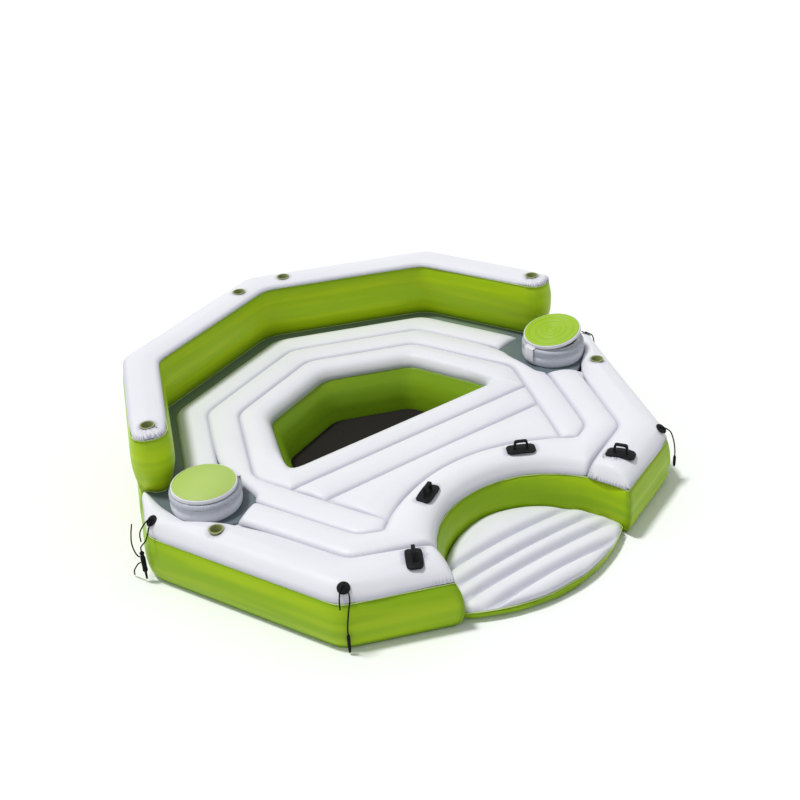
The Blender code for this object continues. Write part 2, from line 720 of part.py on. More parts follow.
def build_valley(cooler_cutters):
    # The flat between the seat and the backrest, with the cooler pockets
    inner = [
        (corner(outer_groove_radius, 0), corner_cut), (corner(outer_groove_radius, 1), corner_cut),
        (pocket_rear_outer, 0), (pocket_rear, 0), (pocket_inner_rear, notch_cut),
        (plan(pocket_inner_x, cooler_y), corner_cut), (pocket_inner_front, notch_cut), (pocket_front, 0),
        (pocket_tip, 0), (pocket_outer, corner_cut), (strip, notch_cut), (strip_end, 0),
    ]
    hull_inside = hull_radius - (wall_thickness + gap) / cos(pi / 8)
    outer = [(on_side(hull_inside, 1, 2, strip_end_y), 0), (corner(hull_inside, 1), corner_cut)]
    outer.append((corner(hull_inside, 0), corner_cut))
    loop = inner[::-1] + [(plan(-point.x, point.y), soft) for point, soft in inner[1:]]
    loop += [(plan(-point.x, point.y), soft) for point, soft in outer[:-1]] + outer[::-1]
    line = soft_path(loop, closed=True)
    turn = sum(a.cross(b) for a, b in zip(line, line[1:] + line[:1]))
    line = offset(line, -gap if turn > 0 else gap)
    floor = add_object(
        "valley_floor", slab("valley_floor", line, valley_height - valley_sheet, valley_height), "white vinyl")
    for item in cooler_cutters:
        cut(floor, item)
    return floor


# Backrest
def backrest_rows():
    # Matched points of its inner and outer side, from its right end round to its left end
    sides = (backrest_radius, hull_radius)
    along = (corner(hull_radius, 1) - corner(hull_radius, 2)).normalized()
    middle_radius = sum(sides) / 2
    tip = on_side(middle_radius, 1, 2, backrest_end_y)
    half = (hull_radius - backrest_radius) * cos(pi / 8) / 2
    across = plan(along.y, -along.x)
    rows = []
    for share, _ in backrest_end_shares:
        width = half * sqrt(1 - (1 - share) ** 2)
        centre = tip + along * backrest_end_length * share
        rows.append((centre - across * width, centre + across * width))
    paths = []
    for radius in sides:
        line = [(rows[-1][0] if radius == backrest_radius else rows[-1][1], 0), (corner(radius, 1), corner_cut)]
        line.append((corner(radius, 0), corner_cut))
        line += [(plan(-point.x, point.y), soft) for point, soft in line[-2::-1]]
        paths.append(soft_path(line))
    rows = rows[:-1] + list(zip(*paths))
    return rows + [(plan(-a.x, a.y), plan(-b.x, b.y)) for a, b in rows[2::-1]]


def build_backrest():
    rows = backrest_rows()
    outer = [row[1] for row in rows]
    inner = [row[0] for row in rows]
    outline = outer + inner[::-1]
    moves = mitres(outline)
    low, high = valley_height + gap, backrest_height
    sections = []
    for index, (point, move) in enumerate(zip(outline, moves)):
        on_outside = 3 <= index < len(outer) - 3
        skin = []
        for height_share, inner_share, outer_share in backrest_shares:
            bulge = outer_share * backrest_bulge if on_outside else inner_share * backrest_foot_inset
            skin.append((height_share, bulge / backrest_bulge))
        sections.append(wall_section(point, move, low, high, skin, backrest_bulge, wall_thickness))
    wall("backrest_wall", sections, "green vinyl")
    edge = edges["backrest"]
    sections = []
    for index, (a, b) in enumerate(rows):
        from_end = min(index, len(rows) - 1 - index)
        rise = backrest_end_shares[min(from_end, len(backrest_end_shares) - 1)][1]
        sections.append(rib_section(a, b, edge, edge, backrest_crown, rise, edge[0]))
    return add_object("backrest_top", loft("backrest_top", sections), "white vinyl")


# Boarding platform
def bite_wall():
    # The bite's wall in plan where the platform's seam meets it, from the right end to the middle
    outline = hull_outline()
    top_share = (platform_seam + gap + platform_lip - floor_thickness) / (seam_height - floor_thickness)
    low, high = [pair for pair in zip(wall_shares, wall_shares[1:]) if pair[0][0] <= top_share][-1]
    bulge = low[1] + (high[1] - low[1]) * (top_share - low[0]) / (high[0] - low[0])
    moves = mitres(outline)
    moved = [point + move * (bulge * wall_bulge + 2 * gap) for point, move in zip(outline, moves)]
    bite = [point for point, was in zip(moved, outline) if was.y > hull_front.y + gap and abs(was.x) < hull_front.x
            and (was - plan(0, bite_centre_y)).length < bite_radius + gap]
    front = [point for point, was in zip(moved, outline) if (was - hull_front).length < gap]
    return front + sorted([point for point in bite if point.x > -gap], key=lambda point: point.y)


def platform_half_width(y, wall_line):
    front_centre = platform_front_y + platform_front_radius
    half = sqrt(max(platform_front_radius ** 2 - (y - front_centre) ** 2, 0.0))
    for a, b in zip(wall_line, wall_line[1:]):
        if a.y <= y <= b.y:
            half = min(half, a.x + (b.x - a.x) * (y - a.y) / (b.y - a.y))
    return half


def platform_stations(rear):
    lines = [rear, *platform_groove_ys, platform_front_y]
    stations = []
    for start, stop in zip(lines, lines[1:]):
        for share in platform_rib_shares:
            stations.append((start + (stop - start) * share, swell(share)))
    start_share = platform_rib_shares[1] * rib_start_share
    near_rear = rear + (platform_groove_ys[0] - rear) * start_share
    near_front = lines[-1] + platform_foot * rib_start_share
    return [(near_rear, swell(start_share))] + stations[1:] + [(near_front, rib_tip_share)]


def build_platform():
    wall_line = bite_wall()
    rear = wall_line[-1].y
    stations = platform_stations(rear)
    top = []
    body = []
    for y, rise in stations:
        half = platform_half_width(y, wall_line)
        edge = platform_seam + gap + platform_lip
        groove = edge + (platform_groove - edge) * min(1.0, half / bite_radius * taper_share)
        end = min((rear - y) / end_round, (y - platform_front_y) / end_round, 1.0)
        groove = edge + (groove - edge) * sqrt(max(end, 0.0))
        crest = groove + (platform_crown - groove) * rise
        line = [Vector((-half, y, platform_seam + gap))]
        for share in platform_across_shares:
            line.append(Vector((half * (2 * share - 1), y, edge + (crest - edge) * swell(share))))
        top.append(line + [Vector((half, y, platform_seam + gap))])
        foot = half - platform_foot_inset * min(1.0, half / platform_foot_inset / 2)
        mid = (half * 2 + foot) / 3
        lift = 0.0 if y - platform_front_y > platform_foot else platform_foot / 3
        body.append([
            Vector((-half, y, platform_seam)), Vector((-mid, y, platform_foot)), Vector((-foot, y, lift)),
            Vector((foot, y, lift)), Vector((mid, y, platform_foot)), Vector((half, y, platform_seam)),
        ])
    add_object("platform_top", loft("platform_top", top), "white vinyl")
    add_object("platform_body", loft("platform_body", body), "green vinyl")
    return stations[-1][0]


# Coolers
def cooler_bore_cutter(side):
    name = "cooler_cutter_left" if side < 0 else "cooler_cutter_right"
    radius = pot_radius + gap
    made = cutter_object(name, turned_solid(name, [
        (radius, valley_height - valley_sheet - overrun), (radius, valley_height + overrun)]))
    made.location = (side * cooler_x, cooler_y, 0)
    return made


def build_cooler(side, word):
    place = (side * cooler_x, cooler_y, 0)
    bore = pot_radius + gap
    low = valley_height + gap
    tall = collar_top - low
    collar = turned("collar", [
        (bore, collar_top), (bore, low), *((collar_radius * out, low + tall * up) for out, up in collar_shares)
    ])
    add_object("cooler_collar_" + word, collar, "white vinyl").location = place
    inside = pot_radius - pot_wall
    flange_low = collar_top + gap
    pot = turned_pot("pot", [
        (pot_flange_radius, flange_low + pot_flange), (pot_flange_radius, flange_low), (pot_radius, flange_low),
        (pot_radius, pot_floor), (inside, pot_floor + pot_wall), (inside, flange_low + pot_flange),
    ])
    add_object("cooler_pot_" + word, pot, "white vinyl").location = place

    # The lid hangs from an empty on its hinge line, at the edge that faces the island's middle; its
    # own pieces are built about the pot's axis
    lid_low = flange_low + pot_flange + lid_rest
    hinge_offset = -lid_radius - lid_hinge_reach
    hinge = bpy.data.objects.new("lid_hinge_" + word, None)
    bpy.context.collection.objects.link(hinge)
    hinge.parent = root
    hinge.location = (place[0] + side * hinge_offset, cooler_y, lid_low)
    hinge.rotation_euler = (0, -radians(ajar_angle) if side > 0 else 0, 0)
    shift = -side * hinge_offset
    body = turned_solid("lid", [
        (lid_radius - lid_chamfer * chamfer, lid_edge * share) for chamfer, share in lid_shares
    ])
    panel_low = lid_edge + gap
    panel_radius = lid_radius - lid_panel_inset
    panel = turned_solid("panel", [
        (panel_radius * share, panel_low + lid_panel * height) for share, height in panel_shares
    ])
    plug = turned_solid("plug", [
        (plug_radius - lid_chamfer, -plug_depth), (plug_radius, lid_chamfer - plug_depth), (plug_radius, -gap),
    ])
    for name, mesh, colour_name in (
        ("cooler_lid_", body, "white vinyl"), ("cooler_lid_panel_", panel, "green vinyl"),
        ("cooler_lid_plug_", plug, "dark green vinyl"),
    ):
        piece = add_object(name + word, mesh, colour_name, parent=hinge)
        piece.location = (shift, 0, 0)

    # The vinyl flap that the lid swings on, welded down the collar's side
    outward = -side
    x = place[0] + outward * (collar_radius + gap)
    low = collar_top + gap
    top = low + hinge_web
    axis = -hinge_offset - collar_radius - gap
    start = asin((lid_low - top) / hinge_bead)
    profile = [(0.0, top - hinge_drop), (hinge_thickness, top - hinge_drop), (hinge_thickness, top)]
    for step in range(bead_steps + 1):
        angle = -start + (pi + 2 * start) * step / bead_steps
        profile.append((axis + hinge_bead * cos(angle), lid_low + hinge_bead * sin(angle)))
    profile += [(profile[-1][0], low), (0.0, low)]
    rows = []
    for end in (-1, 1):
        y = cooler_y + end * hinge_width / 2
        rows.append([Vector((x + outward * reach, y, height)) for reach, height in profile])
    add_object("cooler_hinge_flap_" + word, loft("flap", rows), "white vinyl")


def turned_pot(name, profile, steps=round_steps):
    # Turns an open profile from the rim of a cup's mouth, down its outside, to its inside and mouth again
    rings = []
    for radius, height in profile:
        angles = [2 * pi * step / steps for step in range(steps)]
        rings.append([Vector((radius * cos(angle), radius * sin(angle), height)) for angle in angles])
    points = [point for ring in rings for point in ring]
    faces = []
    floor_out = next(index for index in range(1, len(profile)) if profile[index][0] > profile[index + 1][0]
                     and profile[index + 1][1] > profile[index][1])
    for row in range(len(rings)):
        after = (row + 1) % len(rings)
        if row == floor_out:
            continue
        for index in range(steps):
            step = (index + 1) % steps
            faces.append((row * steps + index, row * steps + step, after * steps + step, after * steps + index))
    faces.append(tuple(floor_out * steps + index for index in range(steps)))
    faces.append(tuple((floor_out + 1) * steps + index for index in range(steps)))
    return mesh_from(name, points, faces)


# Cup holders, handles, pads and valves
def build_cup(name, place, surface, carrier):
    inside = cup_radius - cup_wall
    mesh = turned_pot("cup", [
        (cup_lip_radius, cup_lip), (cup_lip_radius, 0.0), (cup_radius, 0.0), (cup_radius, -cup_depth),
        (inside, -cup_depth + cup_wall), (inside, cup_lip),
    ], steps=round_steps // 2)
    made = add_object(name, mesh, "olive plastic")
    made.location = (*place, surface + gap)
    cutter = cutter_object(name + "_cutter", turned_solid("cup_cutter", [
        (cup_radius + gap, -cup_depth - overrun), (cup_radius + gap, 0.0), (cup_lip_radius + gap, 0.0),
        (cup_lip_radius + gap, overrun),
    ], steps=round_steps // 2))
    cutter.location = (*place, surface)
    cut(carrier, cutter)


def handle_plate(length, width, low, high, sag):
    # A plate with round ends that droops with the tube under it towards both ends
    sections = []
    for along, width_share in plate_shares:
        x = along * length / 2
        y = width_share * width / 2
        drop = sag * along ** 2
        sections.append([
            Vector((x, -y, low - drop)), Vector((x, y, low - drop)), Vector((x, y, high - drop)),
            Vector((x, -y, high - drop)),
        ])
    return loft("plate", sections)


def build_handle(name, place, turn, sag, carrier):
    frame = Matrix.Translation((*place, deck_crown - handle_sink)) @ Matrix.Rotation(radians(turn), 4, "Z")
    made = add_object(name, handle_plate(handle_length, handle_width, gap, handle_base, sag), "black rubber")
    made.matrix_local = frame
    outer = loop_outline(loop_width, loop_height)
    inner = loop_outline(loop_width - 2 * loop_thickness, loop_height - loop_thickness)
    sections = []
    for a, b in zip(outer, inner):
        sections.append([
            Vector((a.x, -strap_width / 2, a.y)), Vector((a.x, strap_width / 2, a.y)),
            Vector((b.x, strap_width / 2, b.y)), Vector((b.x, -strap_width / 2, b.y)),
        ])
    loop = cutter_object(name + "_loop", loft("loop", sections))
    loop.matrix_local = frame
    join = made.modifiers.new("loop", "BOOLEAN")
    join.operation = "UNION"
    join.solver = "EXACT"
    join.object = loop
    seat = cutter_object(
        name + "_seat", handle_plate(handle_length + 2 * gap, handle_width + 2 * gap, 0.0, overrun, sag))
    seat.matrix_local = frame
    cut(carrier, seat)


def loop_outline(width, height):
    # An arch with rounded shoulders, in the XZ plane, its feet inside the base
    foot = handle_base / 3
    shoulder = plan(width * loop_top_share, height)
    bend = width * loop_bend_share
    foot_place = plan(width / 2, foot)
    shoulders = [(plan(-shoulder.x, shoulder.y), bend), (shoulder, bend)]
    return soft_path([(plan(-foot_place.x, foot), 0), *shoulders, (foot_place, 0)])


def build_pad(name, side, place, facing, lean, carrier):
    across = plan(cos(radians(facing)), sin(radians(facing)))
    normal = Vector((side * across.x * sin(radians(lean)), across.y * sin(radians(lean)), cos(radians(lean))))
    frame = Matrix.Translation((side * place[0], place[1], place[2]))
    frame = frame @ normal.to_track_quat("Z", "Y").to_matrix().to_4x4()
    made = add_object(name, turned_solid("pad", [
        (pad_radius, gap), *((pad_radius * out, pad_thickness * up) for out, up in disc_shares)
    ], steps=round_steps // 2), "black rubber")
    made.matrix_local = frame
    seat = cutter_object(name + "_seat", turned_solid("pad_seat", [
        (pad_radius + gap, 0.0), (pad_radius + gap, overrun),
    ], steps=round_steps // 2))
    seat.matrix_local = frame
    cut(carrier, seat)


def build_valve(name, height, swell_out):
    # A flange on the rear wall and the push-in cap that closes it, hinged at the flange's top
    normal = corner(1.0, 0.5)
    place = normal * (hull_radius * cos(pi / 8) + swell_out + gap)
    facing = Vector((*normal, 0)).to_track_quat("Z", "Y").to_matrix().to_4x4()
    frame = Matrix.Translation((*place, height)) @ facing
    base = add_object(name, turned_solid("valve", [
        (valve_radius, 0.0), *((valve_radius * out, valve_height * up) for out, up in disc_shares)
    ], steps=round_steps // 2), "grey plastic")
    base.matrix_local = frame
    hinge = bpy.data.objects.new(name + "_hinge", None)
    bpy.context.collection.objects.link(hinge)
    hinge.parent = root
    hinge.matrix_local = frame @ Matrix.Translation((0, valve_cap_radius + valve_hinge, valve_height + gap))
    cap = add_object(name + "_cap", turned_solid("cap", [
        (valve_cap_radius, gap), *((valve_cap_radius * out, valve_cap_height * up) for out, up in cap_shares)
    ], steps=round_steps // 2), "grey plastic", parent=hinge)
    cap.location = (0, -valve_cap_radius - valve_hinge, 0)


# Cords: each runs smoothly through its own route points, which are taken from the middle of its pad
pad_front = Vector((hull_radius * pad_front_shares[0], hull_radius * pad_front_shares[1],
                    seam_height + pad_front_rise))
pad_side = Vector((hull_radius * pad_side_share, 0.0, seam_height + pad_side_rise))
cord_routes = {
    "cord_front_left": (pad_front, -1, [
        (-0.072, -0.061, -0.082), (-0.067, -0.052, -0.042), (-0.0365, -0.0152, -0.007),
        (0.0025, 0.0043, 0.0176), (0.005, -0.0392, -0.007), (-0.009, -0.071, -0.042),
        (-0.025, -0.078, -0.094), (-0.038, -0.077, -0.167), (-0.046, -0.076, -0.237),
        (-0.046, -0.076, -0.269),
    ]),
    "cord_front_right": (pad_front, 1, [
        (-0.0025, 0.0043, 0.0176), (0.0365, -0.0152, -0.007), (0.074, -0.022, -0.047),
        (0.102, -0.024, -0.117), (0.1, -0.038, -0.157), (0.092, -0.052, -0.195), (0.092, -0.052, -0.227),
    ]),
    "cord_side_left": (pad_side, -1, [
        (-0.096, -0.004, -0.113), (-0.084, 0.016, -0.058), (-0.0312, 0.024, -0.008),
        (0.0044, 0.0, 0.0177), (-0.0312, -0.026, -0.008), (-0.067, -0.058, -0.047),
        (-0.08, -0.044, -0.09), (-0.098, -0.008, -0.14), (-0.104, 0.002, -0.157),
        (-0.104, 0.002, -0.1865),
    ]),
    "cord_side_left_rear": (pad_side, -1, [
        (-0.116, 0.0124, -0.23), (-0.125, 0.022, -0.225), (-0.13, 0.055, -0.203),
        (-0.124, 0.095, -0.163), (-0.095, 0.15, -0.13), (-0.06, 0.21, -0.115),
    ]),
    "cord_side_left_low": (pad_side, -1, [
        (-0.1194, 0.0136, -0.275), (-0.129, 0.022, -0.28), (-0.138, 0.055, -0.32),
        (-0.145, 0.092, -0.375), (-0.144, 0.1, -0.413),
    ]),
    "cord_side_right": (pad_side, 1, [
        (-0.0044, 0.0, 0.0177), (0.0312, 0.0, -0.008), (0.066, 0.004, -0.035), (0.091, 0.008, -0.085),
        (0.098, 0.006, -0.165), (0.097, 0.0, -0.245),
    ]),
}


def cord_route(name):
    pad, side, offsets = cord_routes[name]
    return [Vector((side * pad.x, pad.y, pad.z)) + Vector(offset_from_pad) for offset_from_pad in offsets]


def smooth_line(points, step):
    # Even points on a smooth curve through the route points
    places = [Vector(point) for point in points]
    padded = [places[0] * 2 - places[1], *places, places[-1] * 2 - places[-2]]
    dense = []
    for a, b, c, d in zip(padded, padded[1:], padded[2:], padded[3:]):
        for index in range(curve_steps):
            t = index / curve_steps
            line = 2 * b + (c - a) * t + (2 * a - 5 * b + 4 * c - d) * t ** 2 + (3 * b - a - 3 * c + d) * t ** 3
            dense.append(line / 2)
    dense.append(places[-1])
    lengths = [(q - p).length for p, q in zip(dense, dense[1:])]
    count = max(2, round(sum(lengths) / step))
    line = [dense[0]]
    travelled = 0.0
    for point, length in zip(dense[1:], lengths):
        travelled += length
        if travelled >= sum(lengths) * len(line) / count:
            line.append(point)
    return line[:count] + [dense[-1]], sum(lengths)


def build_cord(name, route):
    curve = bpy.data.curves.new(name, "CURVE")
    curve.dimensions = "3D"
    curve.bevel_depth = cord_radius
    curve.bevel_resolution = 2
    curve.use_fill_caps = True
    line, length = smooth_line(route, cord_step)
    spline = curve.splines.new("POLY")
    spline.points.add(len(line) - 1)
    for point, place in zip(spline.points, line):
        point.co = (*place, 1.0)
    made = bpy.data.objects.new(name, curve)
    bpy.context.collection.objects.link(made)
    made.parent = root
    curve.materials.append(finish("black cord"))
    print(name, "length", round(length, 3), "points", len(line))


def build_rope_end(name, top, length, radius, shares):
    # The thick end or knot that a cord's last point meets
    rings = [(radius * width, -gap - length * along) for along, width in shares]
    made = add_object(name, turned_solid(name, rings, steps=rope_steps), "black cord")
    made.location = top


def build_island():
    gunwales = build_deck()
    rear_y = build_hull()
    front_y = build_platform()
    root.location.y = -(rear_y + front_y) / 2
    build_net()
    build_webs()
    build_valley([cooler_bore_cutter(side) for side in (-1, 1)])
    backrest_top = build_backrest()
    bow = bpy.data.objects["bow_tube"]
    for side, word in ((-1, "left"), (1, "right")):
        build_cooler(side, word)
        gunwale = gunwales[word]
        build_cup("cup_holder_end_" + word, in_plan(cup_end_shares, side), backrest_crown, backrest_top)
        rear_place = on_side((hull_radius + backrest_radius) / 2, 0, 1, hull_radius * cup_rear_share)
        build_cup("cup_holder_rear_" + word, (side * rear_place.x, rear_place.y), backrest_crown, backrest_top)
        build_cup("cup_holder_deck_" + word, in_plan(cup_deck_shares, side), deck_crown, gunwale)
        inner = in_plan(handle_inner_shares, side)
        outer = in_plan(handle_outer_shares, side)
        build_handle("handle_inner_" + word, inner, side * handle_inner_turn, handle_inner_sag, bow)
        build_handle("handle_outer_" + word, outer, side * handle_outer_turn, handle_outer_sag, gunwale)
        build_pad("tie_pad_front_" + word, side, pad_front, pad_front_facing, pad_front_lean, gunwale)
        build_pad("tie_pad_side_" + word, side, pad_side, pad_side_facing, pad_side_lean, gunwale)
    rise = wall_shares[2][0]
    build_valve("hull_valve", floor_thickness + (valley_height - floor_thickness) * rise, wall_bulge)
    rise = backrest_shares[2][0]
    build_valve("backrest_valve", valley_height + (backrest_height - valley_height) * rise, backrest_bulge)
    for name in cord_routes:
        build_cord(name, cord_route(name))
    build_rope_end("rope_end_front_left", cord_route("cord_front_left")[-1], rope_end_length, rope_end_radius,
                   rope_end_shares)
    build_rope_end("rope_end_front_right", cord_route("cord_front_right")[-1], rope_tip_length, rope_end_radius,
                   rope_end_shares)
    build_rope_end("knot_side_left", cord_route("cord_side_left")[-1], knot_length, knot_radius, knot_shares)


build_island()
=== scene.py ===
import bmesh
import bpy
import math
import numpy as np
from mathutils import Matrix, Vector, kdtree


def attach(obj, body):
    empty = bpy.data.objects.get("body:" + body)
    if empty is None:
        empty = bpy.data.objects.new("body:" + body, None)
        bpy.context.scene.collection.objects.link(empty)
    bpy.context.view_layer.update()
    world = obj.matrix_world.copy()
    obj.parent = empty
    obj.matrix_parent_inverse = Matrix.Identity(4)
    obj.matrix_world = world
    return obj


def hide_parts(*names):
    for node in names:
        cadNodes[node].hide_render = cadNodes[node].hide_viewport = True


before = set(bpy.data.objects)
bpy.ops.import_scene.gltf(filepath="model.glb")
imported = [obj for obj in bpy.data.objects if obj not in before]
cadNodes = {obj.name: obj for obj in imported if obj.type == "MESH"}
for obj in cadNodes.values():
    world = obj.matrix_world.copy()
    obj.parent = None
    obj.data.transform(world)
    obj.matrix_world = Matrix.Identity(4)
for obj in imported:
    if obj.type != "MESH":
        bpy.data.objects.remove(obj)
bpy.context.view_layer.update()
print("frame loaded:", len(cadNodes), "nodes")


# Helpers that every piece uses
def nothingSelected():
    if bpy.context.mode != "OBJECT":
        bpy.ops.object.mode_set(mode="OBJECT")
    bpy.ops.object.select_all(action="DESELECT")


def only(piece):
    nothingSelected()
    piece.select_set(True)
    bpy.context.view_layer.objects.active = piece


def linked(name, data):
    made = bpy.data.objects.new(name, data)
    bpy.context.collection.objects.link(made)
    return made


def inEdit(piece, mode):
    # Opens the piece for editing with nothing selected
    only(piece)
    bpy.ops.object.mode_set(mode="EDIT")
    bpy.ops.mesh.select_mode(type=mode)
    bpy.ops.mesh.select_all(action="DESELECT")
    return bmesh.from_edit_mesh(piece.data)


def leaveEdit():
    bpy.ops.object.mode_set(mode="OBJECT")


def selectWhere(mesh, parts, test):
    for part in parts:
        part.select_set(test(part))
    mesh.select_flush_mode()


def newShape(name, scale=(1.0, 1.0, 1.0)):
    # Names the primitive that was just added and applies its place and size
    shape = bpy.context.object
    shape.scale = scale
    bpy.ops.object.transform_apply(location=True, scale=True)
    shape.name = name
    return shape


def joined(pieces):
    only(pieces[0])
    for piece in pieces:
        piece.select_set(True)
    bpy.ops.object.join()
    return pieces[0]


def applyModifier(piece, kind, **settings):
    added = piece.modifiers.new(kind.lower(), kind)
    for key, value in settings.items():
        setattr(added, key, value)
    bpy.ops.object.modifier_apply(modifier=added.name)


def shadeSmooth(angle):
    bpy.ops.object.shade_smooth_by_angle(angle=math.radians(angle))


# Camera and studio
cameraView = {
    "position": (-4.028, -6.1648, 4.891),
    "back": (-0.48054, -0.71408, 0.50909),
    "roll": -4.09633,
    "lens": 55.545,
    "sensor": 36.0,
    "farthest": 200.0,
}
studio = {
    "sunFrom": (-0.24, 0.26, 1.0),
    "sunStrength": 2.1,
    "sunSoftness": 9.0,
    "skyColour": (0.93, 0.96, 1.0),
    "skyStrength": 0.43,
    "seenColour": (1.0, 1.0, 1.0),
    "seenStrength": 1.0,
    "floorColour": (0.98, 0.98, 0.98),
    "floorRoughness": 0.9,
    "floorHeight": -0.002,
    "floorSize": 60.0,
}


def addCamera(view):
    back = Vector(view["back"]).normalized()
    right = (-back).cross(Vector((0, 0, 1))).normalized()
    up = right.cross(-back)
    turn = math.radians(view["roll"])
    right, up = right * math.cos(turn) + up * math.sin(turn), up * math.cos(turn) - right * math.sin(turn)
    lens = bpy.data.cameras.new("photoCamera")
    lens.lens = view["lens"]
    lens.sensor_width = view["sensor"]
    lens.clip_end = view["farthest"]
    camera = linked("photoCamera", lens)
    axes = Matrix((right, up, back)).transposed().to_4x4()
    camera.matrix_world = Matrix.Translation(view["position"]) @ axes
    bpy.context.scene.camera = camera


class Signal:
    # One output socket; arithmetic on it adds Math nodes
    def __init__(self, finish, socket):
        self.finish = finish
        self.socket = socket

    def maths(self, operation, first, second):
        return self.finish.node("ShaderNodeMath", {"operation": operation}, {0: first, 1: second})

    def __add__(self, other):
        return self.maths("ADD", self, other)

    def __sub__(self, other):
        return self.maths("SUBTRACT", self, other)

    def __rsub__(self, other):
        return self.maths("SUBTRACT", other, self)

    def __mul__(self, other):
        return self.maths("MULTIPLY", self, other)

    def __pow__(self, other):
        return self.maths("POWER", self, other)


class Finish:
    # A material and the nodes that make it
    def __init__(self, name):
        self.material = bpy.data.materials.new(name)
        self.material.use_nodes = True
        self.tree = self.material.node_tree
        self.shader = self.tree.nodes["Principled BSDF"]

    def node(self, kind, settings=None, inputs=None, output=0):
        made = self.tree.nodes.new(kind)
        for key, value in (settings or {}).items():
            setattr(made, key, value)
        for key, value in (inputs or {}).items():
            self.feed(made.inputs[key], value)
        return Signal(self, made.outputs[output])

    def feed(self, socket, value):
        if isinstance(value, Signal):
            self.tree.links.new(value.socket, socket)
        elif socket.type == "RGBA" and len(value) == 3:
            socket.default_value = (*value, 1.0)
        else:
            socket.default_value = value

    def surface(self, **values):
        for name, value in values.items():
            self.feed(self.shader.inputs[name.replace("_", " ")], value)
        return self.material

    def place(self):
        return self.node("ShaderNodeTexCoord", output="Object")

    def axis(self, where, letter):
        return self.node("ShaderNodeSeparateXYZ", None, {0: where}, letter)

    def point(self, x, y, z=0.0):
        return self.node("ShaderNodeCombineXYZ", None, {0: x, 1: y, 2: z})

    def noise(self, where, scale, detail, roughness=0.5):
        return self.node("ShaderNodeTexNoise", None, {
            "Vector": where, "Scale": scale, "Detail": detail, "Roughness": roughness})

    def ease(self, value, start, end, first=0.0, last=1.0, curve="SMOOTHSTEP"):
        return self.node("ShaderNodeMapRange", {"interpolation_type": curve}, {
            "Value": value, "From Min": start, "From Max": end, "To Min": first, "To Max": last})

    def blend(self, share, first, second):
        return self.node("ShaderNodeMix", {"data_type": "RGBA"}, {0: share, 6: first, 7: second}, 2)

    def bump(self, height, distance, strength, under=None):
        inputs = {"Height": height, "Distance": distance, "Strength": strength}
        if under:
            inputs["Normal"] = under
        return self.node("ShaderNodeBump", None, inputs)


# Vinyl: a soft skin, creased across its welds, its colour darkened near welds, rib grooves and gathered strokes as
# painted shade, and lightened in soft streaks as painted sheen. The seam map holds metres along and away from a
# weld, and the attribute pucker says where the skin is gathered tightly
vinylLook = {
    "creases": 46.0, "creaseSpread": 9.0, "creaseReach": 0.05, "creaseDepth": 0.003,
    "creaseShadeReach": 0.045, "creaseShadeShare": 0.5,
    "strokePitch": 0.021, "strokeWander": 5.0, "strokeDepth": 0.006, "strokeShadeShare": 0.8,
    "streaks": 7.0, "streakLength": 0.45, "streakScale": 1.5, "streakFrom": 0.38, "streakTo": 0.66,
    "sheenShare": 0.55,
    "billow": 5.0, "billowDepth": 0.006, "billowStrength": 0.6,
    "grain": 420.0, "grainDepth": 0.00012, "grainStrength": 0.5,
    "tone": 2.3, "toneDetail": 3.0, "toneShare": 0.7,
    "detail": 2.0, "roughness": 0.34, "roughSpread": 0.12, "gloss": 0.22,
}
# Each vinyl's material, base, shade, painted sheen streak and painted shade for welds, grooves and strokes
vinylColours = {
    "white": ("whiteVinyl", (0.84, 0.83, 0.86), (0.76, 0.75, 0.82), (0.87, 0.87, 0.88), (0.42, 0.43, 0.52)),
    # The collar is white vinyl in greyer colours, painted shade
    "collar": ("collarVinylPaintedShade", (0.74, 0.75, 0.8), (0.6, 0.62, 0.7), (0.8, 0.82, 0.86), (0.25, 0.28, 0.35)),
    "green": ("greenVinyl", (0.3, 0.5, 0.002), (0.25, 0.45, 0.003), (0.47, 0.63, 0.004), (0.16, 0.32, 0.004)),
    # The well's wall is the hull's green vinyl in a darker copy, painted shade
    "wellShadedGreen": ("wellVinylPaintedShade", (0.25, 0.42, 0.012), (0.2, 0.35, 0.014), (0.31, 0.48, 0.012), (0.1, 0.2, 0.01)),
    # The backrest's wall is the hull's green vinyl in a lighter copy, painted light
    "backLitGreen": ("backrestVinylPaintedLight", (0.4, 0.61, 0.004), (0.33, 0.55, 0.004), (0.56, 0.73, 0.006), (0.2, 0.38, 0.004)),
}


